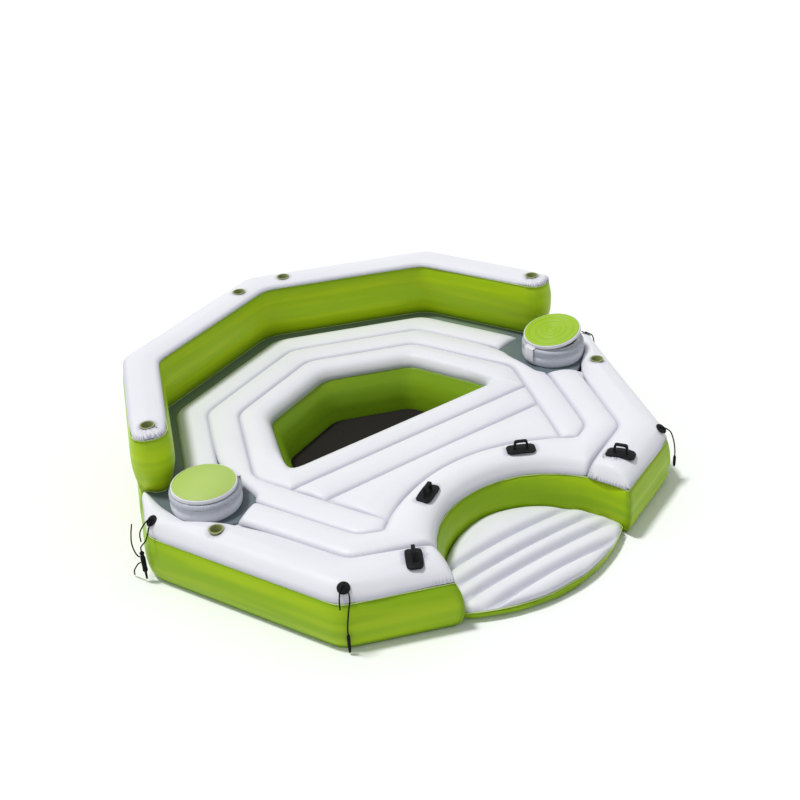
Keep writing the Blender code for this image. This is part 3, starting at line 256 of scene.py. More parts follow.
def vinylFinish(look, name, colour, shade, paintedSheen, paintedShade):
    skin = Finish(name)
    place = skin.place()
    seam = skin.node("ShaderNodeUVMap", {"uv_map": "seam"})
    along = skin.axis(seam, "X")
    away = skin.axis(seam, "Y")
    gathered = skin.node("ShaderNodeAttribute", {"attribute_name": "pucker"}, None, "Fac")
    fade = skin.ease(away, 0.0, look["creaseReach"], 1.0, 0.0)
    stretched = skin.point(along * look["creases"], away * look["creaseSpread"])
    folds = skin.noise(stretched, 1.0, look["detail"])
    creases = (folds - 0.5) * fade
    weld = skin.ease(away, 0.0, look["creaseShadeReach"], 1.0, 0.0, "SMOOTHERSTEP")
    turns = along * (2 * math.pi / look["strokePitch"]) + folds * look["strokeWander"]
    wave = skin.node("ShaderNodeMath", {"operation": "SINE"}, {0: turns})
    strokes = ((wave * 0.5 + 0.5) ** 2.0) * gathered
    billow = skin.noise(place, look["billow"], look["detail"])
    grain = skin.noise(place, look["grain"], look["detail"])
    tone = skin.noise(place, look["tone"], look["toneDetail"])
    normal = skin.bump(billow, look["billowDepth"], look["billowStrength"])
    normal = skin.bump(creases, look["creaseDepth"], 1.0, normal)
    normal = skin.bump(0.0 - strokes, look["strokeDepth"], 1.0, normal)
    normal = skin.bump(grain, look["grainDepth"], look["grainStrength"], normal)
    lain = skin.point(
        skin.axis(place, "X") * look["streakLength"], skin.axis(place, "Y") * look["streakLength"],
        skin.axis(place, "Z") * look["streaks"])
    streak = skin.ease(
        skin.noise(lain, look["streakScale"], look["detail"]), look["streakFrom"], look["streakTo"])
    base = skin.blend(tone * look["toneShare"], colour, shade)
    # Painted sheen: soft lying streaks lighten the colour
    base = skin.blend(streak * look["sheenShare"], base, paintedSheen)
    # Painted shade: the colour darkens towards each weld and rib groove
    base = skin.blend(weld * look["creaseShadeShare"], base, paintedShade)
    # Painted shade: the colour darkens along the gathered strokes
    base = skin.blend(strokes * look["strokeShadeShare"], base, paintedShade)
    rough = billow * look["roughSpread"] + look["roughness"]
    return skin.surface(Base_Color=base, Roughness=rough, Specular_IOR_Level=look["gloss"], Normal=normal)


# The flat behind the seat: white vinyl coloured as one grey sheet of painted shade, greener behind the seat with the
# backrest's painted shadow and green reflection, and slate in the cooler pockets with the coolers' painted shadows
valleyLook = {
    "behind": (0.19, 0.26, 0.18), "pocket": (0.13, 0.16, 0.19), "shade": (0.15, 0.19, 0.17),
    "pocketFrom": 0.75, "pocketTo": 1.25,
    "tone": 3.0, "toneDetail": 3.0, "toneShare": 0.5,
    "ripple": 14.0, "rippleDepth": 0.004, "rippleStrength": 0.6,
    "grain": 420.0, "grainDepth": 0.0001, "grainStrength": 0.5,
    "detail": 2.0, "roughness": 0.42, "roughSpread": 0.1, "gloss": 0.2,
}


def valleyShadeFinish(look, name):
    skin = Finish(name)
    place = skin.place()
    aside = skin.node("ShaderNodeMath", {"operation": "ABSOLUTE"}, {0: skin.axis(place, "X")})
    inPocket = skin.ease(aside - skin.axis(place, "Y"), look["pocketFrom"], look["pocketTo"])
    tone = skin.noise(place, look["tone"], look["toneDetail"])
    ripple = skin.noise(place, look["ripple"], look["detail"])
    grain = skin.noise(place, look["grain"], look["detail"])
    # Painted shadow: grey-green behind the seat, slate grey in the cooler pockets
    base = skin.blend(inPocket, look["behind"], look["pocket"])
    base = skin.blend(tone * look["toneShare"], base, look["shade"])
    normal = skin.bump(ripple, look["rippleDepth"], look["rippleStrength"])
    normal = skin.bump(grain, look["grainDepth"], look["grainStrength"], normal)
    rough = tone * look["roughSpread"] + look["roughness"]
    return skin.surface(Base_Color=base, Roughness=rough, Specular_IOR_Level=look["gloss"], Normal=normal)


# Plain materials: each one's colours, roughness, the scale and depth of its mottle, and its gloss
plainLook = {
    "mottleDetail": 4.0, "mottleStrength": 0.7, "wearSize": 9, "wearDetail": 3.0, "roughSpread": 0.15,
}
plainColours = {
    "weld": ("weldedEdge", (0.62, 0.72, 0.34), (0.5, 0.66, 0.16), 0.36, 260.0, 0.0006, 0.3),
    "panelRight": ("ringedPanel", (0.36, 0.56, 0.03), (0.31, 0.51, 0.02), 0.36, 30.0, 0.001, 0.3),
    "panelLeft": ("flatPanel", (0.47, 0.62, 0.16), (0.43, 0.59, 0.13), 0.4, 30.0, 0.001, 0.3),
    "lid": ("lidVinyl", (0.82, 0.81, 0.85), (0.74, 0.74, 0.79), 0.34, 40.0, 0.0012, 0.3),
    "dark": ("darkGreenVinyl", (0.13, 0.27, 0.01), (0.09, 0.2, 0.01), 0.42, 120.0, 0.0006, 0.3),
    "rubber": ("blackRubber", (0.004, 0.004, 0.005), (0.008, 0.008, 0.009), 0.5, 160.0, 0.0006, 0.12),
    "cord": ("blackCord", (0.004, 0.004, 0.005), (0.009, 0.009, 0.01), 0.75, 420.0, 0.0012, 0.15),
    "net": ("blackMesh", (0.006, 0.0055, 0.005), (0.02, 0.017, 0.013), 0.8, 300.0, 0.001, 0.2),
    "olive": ("olivePlastic", (0.3, 0.33, 0.13), (0.37, 0.4, 0.19), 0.4, 200.0, 0.0002, 0.3),
    "grey": ("greyPlastic", (0.5, 0.51, 0.53), (0.42, 0.43, 0.46), 0.38, 240.0, 0.0002, 0.3),
}


def plainFinish(look, name, colour, second, roughness, scale, depth, gloss):
    skin = Finish(name)
    place = skin.place()
    mottle = skin.noise(place, scale, look["mottleDetail"])
    wear = skin.noise(place, scale / look["wearSize"], look["wearDetail"])
    normal = skin.bump(mottle, depth, look["mottleStrength"])
    base = skin.blend(wear, colour, second)
    rough = wear * look["roughSpread"] + roughness
    return skin.surface(Base_Color=base, Roughness=rough, Specular_IOR_Level=gloss, Normal=normal)


finishes = {}
for finishName, finishPlan in vinylColours.items():
    finishes[finishName] = vinylFinish(vinylLook, *finishPlan)
# The valley's finish is painted shade over white vinyl
finishes["valley"] = valleyShadeFinish(valleyLook, "valleyVinylPaintedShade")
for finishName, finishPlan in plainColours.items():
    finishes[finishName] = plainFinish(plainLook, *finishPlan)
print("materials made:", len(finishes))


def addWorld(look):
    # The sky lights the object in its own colour; the camera and reflections see plain white
    world = bpy.data.worlds.new("studioWorld")
    bpy.context.scene.world = world
    world.use_nodes = True
    tree = world.node_tree
    background = tree.nodes["Background"]
    tint = tree.nodes.new("ShaderNodeMix")
    tint.data_type = "RGBA"
    tint.inputs[6].default_value = (*look["skyColour"], 1.0)
    tint.inputs[7].default_value = (*look["seenColour"], 1.0)
    tree.links.new(tint.outputs[2], background.inputs["Color"])
    rays = tree.nodes.new("ShaderNodeLightPath")
    level = tree.nodes.new("ShaderNodeMapRange")
    level.inputs["To Min"].default_value = look["skyStrength"]
    level.inputs["To Max"].default_value = look["seenStrength"]
    seen = rays.outputs["Is Camera Ray"]
    for kind in ("Is Glossy Ray", "Is Transmission Ray"):
        both = tree.nodes.new("ShaderNodeMath")
        both.operation = "ADD"
        both.use_clamp = True
        tree.links.new(seen, both.inputs[0])
        tree.links.new(rays.outputs[kind], both.inputs[1])
        seen = both.outputs[0]
    tree.links.new(seen, level.inputs["Value"])
    tree.links.new(seen, tint.inputs[0])
    tree.links.new(level.outputs["Result"], background.inputs["Strength"])


def addStudio(look):
    nothingSelected()
    bpy.ops.mesh.primitive_plane_add(size=look["floorSize"], location=(0, 0, look["floorHeight"]))
    floor = bpy.context.object
    floor.name = "studioFloor"
    paper = Finish("studioPaper")
    floor.data.materials.append(paper.surface(Base_Color=look["floorColour"], Roughness=look["floorRoughness"]))
    sun = bpy.data.lights.new("studioSun", "SUN")
    sun.energy = look["sunStrength"]
    sun.angle = math.radians(look["sunSoftness"])
    lamp = linked("studioSun", sun)
    lamp.rotation_euler = Vector(look["sunFrom"]).to_track_quat("Z", "Y").to_euler()
    addWorld(look)
    bpy.context.scene.view_settings.view_transform = "Standard"


addCamera(cameraView)
addStudio(studio)
print("camera and studio set")


def settle(piece, colour, slot, *replaced, body="island"):
    piece.data.materials.clear()
    piece.data.materials.append(finishes[colour])
    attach(piece, body)
    if replaced:
        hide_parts(*replaced)


# Copies of the solids, with their doubled points merged and their triangles paired, ready to be made finer
copyLook = {"merge": 0.00002, "flatAngle": 50, "shapeAngle": 60}


def solidCopy(source, name):
    piece = linked(name, cadNodes[source].data.copy())
    only(piece)
    bpy.ops.object.mode_set(mode="EDIT")
    bpy.ops.mesh.select_all(action="SELECT")
    bpy.ops.mesh.remove_doubles(threshold=copyLook["merge"])
    return piece


def squaredCopy(source, name):
    piece = solidCopy(source, name)
    bpy.ops.mesh.tris_convert_to_quads(
        face_threshold=math.radians(copyLook["flatAngle"]), shape_threshold=math.radians(copyLook["shapeAngle"]))
    return piece


# Blown-up pieces: each grows from its solid, with a finer, rounder skin.
# Swelling stops near the fittings that stand on it: x, y and reach, on both sides
fittings = [
    (1.587, -0.4358, 0.07), (1.614, 0.3102, 0.07), (0.198, 1.6262, 0.07), (0.3825, -0.9838, 0.13),
    (0.8325, -1.4438, 0.13), (1.28, -1.3698, 0.06), (1.84, -0.0538, 0.06),
]
chambers = [
    "well_tube", "seat_tube", "outer_seat_tube", "bow_tube", "cross_tube", "crescent_tube", "gunwale_left",
    "gunwale_right", "backrest_top", "platform_top", "cooler_collar_left", "cooler_collar_right",
]
blownUp = {
    **{chamber: ("white", "white_vinyl") for chamber in chambers},
    "cooler_collar_left": ("collar", "white_vinyl"), "cooler_collar_right": ("collar", "white_vinyl"),
    "hull_side_wall": ("green", "green_vinyl"), "well_wall": ("wellShadedGreen", "green_vinyl"),
    "backrest_wall": ("backLitGreen", "green_vinyl"), "platform_body": ("green", "green_vinyl"),
    "hull_floor": ("green", "green_vinyl"), "valley_floor": ("valley", "white_vinyl"),
}
# Waves are height, pace and start, along the weld
skinLook = {
    "cell": 0.05,
    "swell": 0.0055,
    "swellReach": 0.03,
    "levels": 1,
    "seamAngle": 0.0,
    "sampleStep": 0.006,
    "seamGap": 1.0,
    "puckers": 0.0016,
    "puckerReach": 0.05,
    "puckerPitch": 0.024,
    "puckerWander": ((1.9, 5.3, 0.0), (1.1, 17.0, 1.0)),
    "puckerMean": 0.55,
    "puckerWaves": ((0.3, 9.1, 0.7), (0.15, 31.0, 0.0)),
    "seamFlat": 0.006,
    "strong": (),
    "strongEdge": 1.4,
    "strongReach": 0.028,
    "smoothAngle": 42,
}
wallChange = {"swell": 0.0, "seamAngle": 0.9}
floorChange = {"cell": 9.0, "levels": 0, "swell": 0.0}
collarChange = {"cell": 0.014, "puckerPitch": 0.016, "gathered": (0.16, 0.03)}
skinChanges = {
    "backrest_top": {"even": 0.009, "levels": 2, "strong": [((-1.62, 0.19), 0.2), ((1.62, 0.19), 0.2)]},
    "backrest_wall": wallChange,
    "hull_side_wall": wallChange,
    "well_wall": wallChange,
    "gunwale_left": {"even": 0.01, "levels": 2, "strong": [((-0.66, -1.52), 0.22)]},
    "gunwale_right": {"even": 0.01, "levels": 2, "strong": [((0.66, -1.52), 0.22)]},
    "platform_top": {"even": 0.008, "levels": 2, "swell": 0.0, "ribs": {
        "grooves": (-1.2958, -1.4488, -1.5838, -1.7368), "depth": 0.03, "width": 0.026, "rise": 0.012,
        "floor": 0.0765, "fade": 0.022, "scallop": 0.009, "scallopReach": 0.04, "middle": (0.0, -1.5)}},
    "platform_body": {"swell": 0.0},
    "bow_tube": {"even": 0.01, "levels": 2},
    "seat_tube": {"even": 0.01, "levels": 2},
    "cross_tube": {"swell": 0.001},
    "well_tube": {"swell": 0.002},
    "hull_floor": floorChange,
    "valley_floor": floorChange,
    "cooler_collar_left": collarChange,
    "cooler_collar_right": collarChange,
}
ringLook = {"passes": 4, "longEnough": 1.5, "mostCuts": 60}
wallSlope = 0.08


def steep(face):
    return abs(face.normal.z) < wallSlope


def seamEdges(mesh, angle):
    # Edges where a wall meets a crown or an underside, or, with an angle, every edge that is sharper
    inside = [edge for edge in mesh.edges if len(edge.link_faces) == 2]
    if angle:
        return [edge for edge in inside if edge.calc_face_angle() > angle]
    return [edge for edge in inside if steep(edge.link_faces[0]) != steep(edge.link_faces[1])]


def edgeRings(mesh):
    # The rings of edges that face each other across four-sided faces, and which rings cross
    leader = list(range(len(mesh.edges)))

    def top(index):
        while leader[index] != index:
            leader[index] = leader[leader[index]]
            index = leader[index]
        return index

    squares = [face for face in mesh.faces if len(face.edges) == 4]
    for face in squares:
        for a, b in ((0, 2), (1, 3)):
            leader[top(face.edges[a].index)] = top(face.edges[b].index)
    rings = {}
    for index in range(len(leader)):
        rings.setdefault(top(index), []).append(index)
    crossings = {}
    for face in squares:
        one, other = top(face.edges[0].index), top(face.edges[1].index)
        crossings.setdefault(one, set()).add(other)
        crossings.setdefault(other, set()).add(one)
    return rings, crossings


def cutRings(skin, cell):
    # Evens the faces out: each pass cuts rings that don't cross each other, the longest edges first
    bpy.ops.mesh.select_mode(type="EDGE")
    mesh = bmesh.from_edit_mesh(skin.data)
    for _ in range(ringLook["passes"]):
        mesh.edges.ensure_lookup_table()
        mesh.edges.index_update()
        rings, crossings = edgeRings(mesh)
        plans = []
        for ring, members in rings.items():
            mean = sum(mesh.edges[index].calc_length() for index in members) / len(members)
            if mean > cell * ringLook["longEnough"]:
                plans.append((mean, ring))
        taken = {}
        for mean, ring in sorted(plans, reverse=True):
            if not crossings.get(ring, set()) & set(taken):
                taken[ring] = min(round(mean / cell) - 1, ringLook["mostCuts"])
        if not taken:
            break
        byCuts = {}
        for ring, cuts in taken.items():
            byCuts.setdefault(cuts, []).extend(mesh.edges[index] for index in rings[ring])
        for cuts, edges in byCuts.items():
            bmesh.ops.subdivide_edges(mesh, edges=edges, cuts=cuts)
    bmesh.update_edit_mesh(skin.data)


def roundSkin(skin, levels, angle):
    # Rounds the skin between its welds, which stay sharp
    mesh = bmesh.from_edit_mesh(skin.data)
    layer = mesh.edges.layers.float.get("crease_edge") or mesh.edges.layers.float.new("crease_edge")
    for edge in seamEdges(mesh, angle):
        edge[layer] = 1.0
    bmesh.update_edit_mesh(skin.data)
    leaveEdit()
    if levels:
        applyModifier(skin, "SUBSURF", levels=levels, render_levels=levels)


def evenSkin(skin, cell):
    # Trades the faces for an even net of small squares and eases the steps that it leaves
    skin.data.remesh_voxel_size = cell
    only(skin)
    bpy.ops.object.voxel_remesh()
    applyModifier(skin, "SMOOTH", factor=0.5, iterations=3)


def findSeams(skin, look):
    # Samples every weld: its places, and how far along it each of them lies
    mesh = bmesh.from_edit_mesh(skin.data).copy()
    mesh.edges.ensure_lookup_table()
    mesh.verts.ensure_lookup_table()
    mesh.verts.index_update()
    neighbours = {}
    for edge in seamEdges(mesh, look["seamAngle"]):
        for a, b in ((edge.verts[0], edge.verts[1]), (edge.verts[1], edge.verts[0])):
            neighbours.setdefault(a.index, []).append(b.index)
    samples = []
    seen = set()
    travelled = 0.0
    for start in neighbours:
        if start in seen:
            continue
        here = start
        seen.add(start)
        while here is not None:
            onward = next((index for index in neighbours[here] if index not in seen), None)
            place = mesh.verts[here].co
            samples.append((place.copy(), travelled))
            if onward is not None:
                reach = (mesh.verts[onward].co - place).length
                steps = max(1, round(reach / look["sampleStep"]))
                for step in range(1, steps):
                    share = step / steps
                    samples.append((place.lerp(mesh.verts[onward].co, share), travelled + reach * share))
                travelled += reach
                seen.add(onward)
            here = onward
        travelled += look["seamGap"]
    mesh.free()
    tree = kdtree.KDTree(len(samples))
    for index, (place, _) in enumerate(samples):
        tree.insert(place, index)
    tree.balance()
    return tree, [reach for _, reach in samples]


def bell(distance, reach):
    return np.exp(-(distance / reach) ** 2)


def waver(level, along, waves):
    for height, pace, start in waves:
        level = level + height * np.sin(along * pace + start)
    return level


def skinArrays(mesh, seams):
    # Metres along and away from the nearest weld, places and normals, a row for each vertex
    tree, reaches = seams
    found = [tree.find(vertex.co) for vertex in mesh.vertices]
    table = np.array([(reaches[index], distance) for _, index, distance in found])
    places = np.empty(len(found) * 3)
    mesh.vertices.foreach_get("co", places)
    normals = np.empty(len(found) * 3, np.float32)
    mesh.vertex_normals.foreach_get("vector", normals)
    return table, places.reshape(-1, 3), normals.reshape(-1, 3)


def gathering(places, away, look):
    # How tightly the skin is gathered, which its material draws as bumped strokes darkened with painted shade
    if "gathered" in look:
        share, reach = look["gathered"]
        return share * bell(away, reach)
    gathered = np.zeros(len(away))
    for (x, y), reach in look["strong"]:
        distance = np.hypot(places[:, 0] - x, places[:, 1] - y)
        near = np.clip(look["strongEdge"] * (1 - distance / reach), 0, 1)
        gathered = np.maximum(gathered, near * bell(away, look["strongReach"]))
    return gathered


def drawIn(places, normals, table, look):
    # Small puckers across the welds, and a swelling beside them that leaves the fittings alone
    along, away = table[:, 0], table[:, 1]
    phase = waver(along * 2 * math.pi / look["puckerPitch"], along, look["puckerWander"])
    uneven = waver(look["puckerMean"], along, look["puckerWaves"])
    fade = bell(away, look["puckerReach"]) * np.clip(away / look["seamFlat"], 0, 1)
    drawn = look["puckers"] * uneven * fade * (0.5 + 0.5 * np.cos(phase))
    clear = np.ones(len(away))
    for x, y, reach in fittings:
        for side in (-1, 1):
            clear *= np.clip(np.hypot(places[:, 0] - side * x, places[:, 1] - y) / reach - 1, 0, 1)
    drawn -= look["swell"] * bell(away, look["swellReach"]) * clear
    places -= normals * drawn[:, None]


def raiseRibs(places, table, ribs):
    # Ribs between grooves that run across, each bulging at its ends; the grooves count as welds, so the material
    # paints shade along them
    away = table[:, 1]
    offset = np.abs(places[:, 1][:, None] - np.array(ribs["grooves"])).min(axis=1)
    groove = bell(offset, ribs["width"])
    onTop = np.clip((places[:, 2] - ribs["floor"]) / ribs["fade"], 0, 1)
    lifted = places[:, 2] + onTop * (ribs["rise"] * (1 - groove) - ribs["depth"] * groove)
    places[:, 2] = np.where(onTop > 0, np.maximum(lifted, ribs["floor"]), places[:, 2])
    push = ribs["scallop"] * (1 - 2 * groove) * bell(away, ribs["scallopReach"]) * onTop
    outward = places[:, :2] - np.array(ribs["middle"])
    places[:, :2] += outward / np.linalg.norm(outward, axis=1)[:, None] * push[:, None]
    table[:, 1] = np.where(onTop > 0, np.minimum(away, offset), away)


def puckerSkin(mesh, seams, look):
    table, places, normals = skinArrays(mesh, seams)
    gathered = gathering(places, table[:, 1], look)
    drawIn(places, normals, table, look)
    if "ribs" in look:
        raiseRibs(places, table, look["ribs"])
    mesh.vertices.foreach_set("co", places.ravel())
    mesh.update()
    mark = mesh.attributes.new("pucker", "FLOAT", "POINT")
    mark.data.foreach_set("value", gathered.astype(np.float32))
    layer = mesh.uv_layers.new(name="seam")
    corner = np.empty(len(mesh.loops), int)
    mesh.loops.foreach_get("vertex_index", corner)
    layer.data.foreach_set("uv", table[corner].astype(np.float32).ravel())


def dressSkin(name, colour, slot):
    look = {**skinLook, **skinChanges.get(name, {})}
    skin = squaredCopy(name, name + "_skin")
    seams = findSeams(skin, look)
    if "even" not in look:
        cutRings(skin, look["cell"])
    roundSkin(skin, look["levels"], look["seamAngle"])
    if "even" in look:
        evenSkin(skin, look["even"])
    puckerSkin(skin.data, seams, look)
    only(skin)
    shadeSmooth(look["smoothAngle"])
    settle(skin, colour, slot, name)
    name in chambers
    return skin


for nodeName, skinPlan in blownUp.items():
    madeSkin = dressSkin(nodeName, *skinPlan)
    print("skin", nodeName, len(madeSkin.data.polygons))

# Welded seams stand out as thin beads along the edges of two sheets: the solid that has the edge, the heights
# between which it lies, and whether it is the longest run of edges there or the shortest
weldLook = {"radius": 0.0036, "segments": 2, "slope": 0.5, "smoothAngle": 60}
welds = {
    "weld_hull_top": ("hull_side_wall", 0.32, 0.402, True),
    "weld_hull_foot": ("hull_floor", 0.011, 0.013, True),
    "weld_well_top": ("well_wall", 0.34, 0.35, False),
    "weld_backrest_top": ("backrest_wall", 0.82, 0.83, True),
    "weld_backrest_foot": ("backrest_wall", 0.399, 0.402, True),
    "weld_platform": ("platform_body", 0.069, 0.071, True),
}


def edgeRuns(edges):
    # Groups of edges that hang together, the shortest first, and of two that are as long the one further left
    groups = []
    left = set(edges)
    while left:
        group = []
        queue = [left.pop()]
        while queue:
            edge = queue.pop()
            group.append(edge)
            for vertex in edge.verts:
                for other in vertex.link_edges:
                    if other in left:
                        left.discard(other)
                        queue.append(other)
        leftmost = min(vertex.co.x for edge in group for vertex in edge.verts)
        groups.append((sum(edge.calc_length() for edge in group), leftmost, group))
    return [group for _, _, group in sorted(groups, key=lambda item: item[:2])]


def isRim(edge, low, high):
    # An edge between the two heights, where a flat face meets a wall
    if len(edge.link_faces) != 2 or not all(low <= vertex.co.z <= high for vertex in edge.verts):
        return False
    slopes = [abs(face.normal.z) for face in edge.link_faces]
    return max(slopes) > weldLook["slope"] > min(slopes)


def addWeld(name, source, low, high, longest):
    bead = squaredCopy(source, name)
    mesh = bmesh.from_edit_mesh(bead.data)
    runs = edgeRuns(edge for edge in mesh.edges if isRim(edge, low, high))
    chosen = set(runs[-1 if longest else 0])
    bpy.ops.mesh.select_mode(type="EDGE")
    selectWhere(mesh, mesh.edges, lambda edge: edge not in chosen)
    bmesh.update_edit_mesh(bead.data)
    bpy.ops.mesh.delete(type="EDGE")
    leaveEdit()
    bpy.ops.object.convert(target="CURVE")
    bead.data.bevel_depth = weldLook["radius"]
    bead.data.bevel_resolution = weldLook["segments"]
    bpy.ops.object.convert(target="MESH")
    shadeSmooth(weldLook["smoothAngle"])
    settle(bead, "weld", "green_vinyl")


for weldName, weldPlan in welds.items():
    addWeld(weldName, *weldPlan)
print("welds made:", len(welds))

# Gussets: puffed patches that close the deck where two tubes end beside each other, on both sides
gussetLook = {
    "places": [(1.421, -0.4038), (1.427, 0.2812), (1.2387, -0.2888), (1.216, 0.2362)],
    "height": 0.354,
    "radius": 0.056,
    "flat": 0.66,
    "foot": 0.335,
    "segments": 28,
    "rings": 18,
    "merge": 0.0002,
    "sliver": 0.0001,
    "smoothAngle": 40,
}


def addGussets(look):
    patches = []
    for x, y in look["places"]:
        for side in (-1, 1):
            nothingSelected()
            bpy.ops.mesh.primitive_uv_sphere_add(
                segments=look["segments"], ring_count=look["rings"], radius=look["radius"],
                location=(side * x, y, look["height"]))
            patch = newShape("deck_gussets", (1.0, 1.0, look["flat"]))
            for vertex in patch.data.vertices:
                if vertex.co.z < look["foot"]:
                    vertex.co.z = look["foot"]
            patches.append(patch)
    gussets = joined(patches)
    inEdit(gussets, "VERT")
    bpy.ops.mesh.select_all(action="SELECT")
    bpy.ops.mesh.remove_doubles(threshold=look["merge"])
    bpy.ops.mesh.dissolve_degenerate(threshold=look["sliver"])
    leaveEdit()
    shadeSmooth(look["smoothAngle"])
    settle(gussets, "lid", "white_vinyl")


addGussets(gussetLook)
print("gussets made:", 2 * len(gussetLook["places"]))

# Coolers: each lid is made about its pot's axis and then set on its hinge
lidLook = {
    "sides": {
        "left": {"pot": -1.469, "hinge": -1.2555, "turn": 0.0, "panel": "panelLeft", "rings": (0.19,)},
        "right": {"pot": 1.469, "hinge": 1.2555, "turn": -11.0, "panel": "panelRight",
                  "rings": (0.165, 0.108, 0.064, 0.036)},
    },
    "y": -0.0888,
    "low": 0.5419,
    "sections": 96,
    "radius": 0.212,
    "height": 0.026,
    "flatEdge": 0.001,
    "bevel": {"offset": 0.007, "segments": 4, "profile": 0.6},
    "smoothAngle": 35,
    "piping": 0.0046,
    "lowPiping": 0.7,
    "pipingInset": 0.004,
    "pipingSections": 10,
    "panelRadius": 0.2035,
    "panelHeight": 0.0262,
    "panelRise": 0.0048,
    "panelWall": 0.5,
    "panelShoulders": ((0.003, 0.35), (0.006, 0.15)),
    "panelShoulder": 0.009,
    "panelFoot": 0.0001,
    "facingDown": -0.9,
    "panelSmoothAngle": 50,
    "ringWidth": 0.006,
    "ringDepth": 0.0022,
    "ringStep": 0.0006,
}


def addLidBody(side, onHinge, look):
    nothingSelected()
    bpy.ops.mesh.primitive_cylinder_add(
        vertices=look["sections"], radius=look["radius"] - look["piping"] / 2, depth=look["height"],
        location=(0, 0, look["height"] / 2))
    body = newShape("lid_body_" + side)
    mesh = inEdit(body, "EDGE")
    selectWhere(mesh, mesh.edges, lambda edge: abs(edge.verts[0].co.z - edge.verts[1].co.z) < look["flatEdge"])
    bpy.ops.mesh.bevel(**look["bevel"])
    leaveEdit()
    parts = [body]
    pipings = (
        (look["height"] - look["pipingInset"], look["piping"]),
        (look["pipingInset"], look["piping"] * look["lowPiping"]),
    )
    for height, thick in pipings:
        nothingSelected()
        bpy.ops.mesh.primitive_torus_add(
            major_segments=look["sections"], minor_segments=look["pipingSections"],
            major_radius=look["radius"] - thick, minor_radius=thick, location=(0, 0, height))
        parts.append(newShape("lid_piping"))
    joined(parts).data.transform(onHinge)
    shadeSmooth(look["smoothAngle"])
    settle(body, "lid", "white_vinyl", "cooler_lid_" + side, body="lid_" + side)


def addLidPanel(side, onHinge, plan, look):
    nothingSelected()
    bpy.ops.mesh.primitive_circle_add(
        vertices=look["sections"], radius=look["panelRadius"], fill_type="NGON",
        location=(0, 0, look["panelHeight"]))
    panel = newShape("lid_panel_" + side)
    inEdit(panel, "FACE")
    bpy.ops.mesh.select_all(action="SELECT")
    rise = look["panelRise"]
    bpy.ops.mesh.extrude_region_move(TRANSFORM_OT_translate={"value": (0, 0, rise * look["panelWall"])})
    for width, share in look["panelShoulders"]:
        bpy.ops.mesh.inset(thickness=width, depth=rise * share)
    radius = look["panelRadius"] - look["panelShoulder"]
    for ring in plan["rings"]:
        bpy.ops.mesh.inset(thickness=radius - ring - look["ringWidth"], depth=look["ringStep"])
        bpy.ops.mesh.inset(thickness=look["ringWidth"] / 2, depth=-look["ringDepth"])
        bpy.ops.mesh.inset(thickness=look["ringWidth"] / 2, depth=look["ringDepth"])
        radius = ring
    closeBelow(panel, look)
    panel.data.transform(onHinge)
    shadeSmooth(look["panelSmoothAngle"])
    settle(panel, plan["panel"], "green_vinyl", "cooler_lid_panel_" + side, body="lid_" + side)


def closeBelow(panel, look):
    # Fills the panel's underside where the extrusion left it open
    mesh = bmesh.from_edit_mesh(panel.data)
    foot = min(vertex.co.z for vertex in mesh.verts) + look["panelFoot"]
    bpy.ops.mesh.select_all(action="DESELECT")
    bpy.ops.mesh.select_mode(type="EDGE")
    selectWhere(mesh, mesh.edges, lambda edge: max(vertex.co.z for vertex in edge.verts) < foot)
    if not any(face.normal.z < look["facingDown"] for face in mesh.faces):
        bpy.ops.mesh.edge_face_add()
    bpy.ops.mesh.select_all(action="SELECT")
    bpy.ops.mesh.normals_make_consistent(inside=False)
    leaveEdit()


def addLid(side, look):
    plan = look["sides"][side]
    turn = Matrix.Rotation(math.radians(plan["turn"]), 4, "Y")
    onHinge = Matrix.Translation((plan["hinge"], look["y"], look["low"])) @ turn
    onHinge = onHinge @ Matrix.Translation((plan["pot"] - plan["hinge"], 0, 0))
    addLidBody(side, onHinge, look)
    addLidPanel(side, onHinge, plan, look)


for lidSide in lidLook["sides"]:
    addLid(lidSide, lidLook)
print("lids made:", len(lidLook["sides"]))

# The net in the well, one taut sheet in the outline of its solid
netLook = {"facingUp": 0.9, "flatAngle": 2}


def addNet(look):
    net = solidCopy("well_net", "net_sheet")
    bpy.ops.mesh.convex_hull()
    bpy.ops.mesh.select_mode(type="FACE")
    mesh = bmesh.from_edit_mesh(net.data)
    selectWhere(mesh, mesh.faces, lambda face: face.normal.z < look["facingUp"])
    bpy.ops.mesh.delete(type="FACE")
    bpy.ops.mesh.select_all(action="SELECT")
    bpy.ops.mesh.dissolve_limited(angle_limit=math.radians(look["flatAngle"]))
    leaveEdit()
    settle(net, "net", "black_mesh", "well_net")


addNet(netLook)
print("net laid")

# Small parts: copies of their solids with softened edges, so that rims catch the light. Each row starts the
# names of the parts, and gives their finish, slot and the width of the softened edge
softLook = {"segments": 2, "sharpAngle": 32, "smoothAngle": 40}
softened = {
    "handle_inner": ("rubber", "black_rubber", 0.0016),
    "handle_outer": ("rubber", "black_rubber", 0.0016),
    "tie_pad": ("rubber", "black_rubber", 0.0012),
    "cup_holder": ("olive", "olive_plastic", 0.0012),
    "rope_end": ("cord", "black_cord", 0.001),
    "knot": ("cord", "black_cord", 0.001),
    "hull_valve": ("grey", "grey_plastic", 0.0007),
    "backrest_valve": ("grey", "grey_plastic", 0.0007),
    "cooler_hinge_flap": ("lid", "white_vinyl", 0.001),
}


def soften(name, colour, slot, width):
    piece = squaredCopy(name, name + "_fine")
    leaveEdit()
    applyModifier(
        piece, "BEVEL", width=width, segments=softLook["segments"], limit_method="ANGLE",
        angle_limit=math.radians(softLook["sharpAngle"]))
    shadeSmooth(softLook["smoothAngle"])
    settle(piece, colour, slot, name, body=name if name.endswith("cap") else "island")
    return piece


for nodeName in sorted(cadNodes):
    for start, finePlan in softened.items():
        if nodeName.startswith(start):
            soften(nodeName, *finePlan)
            break

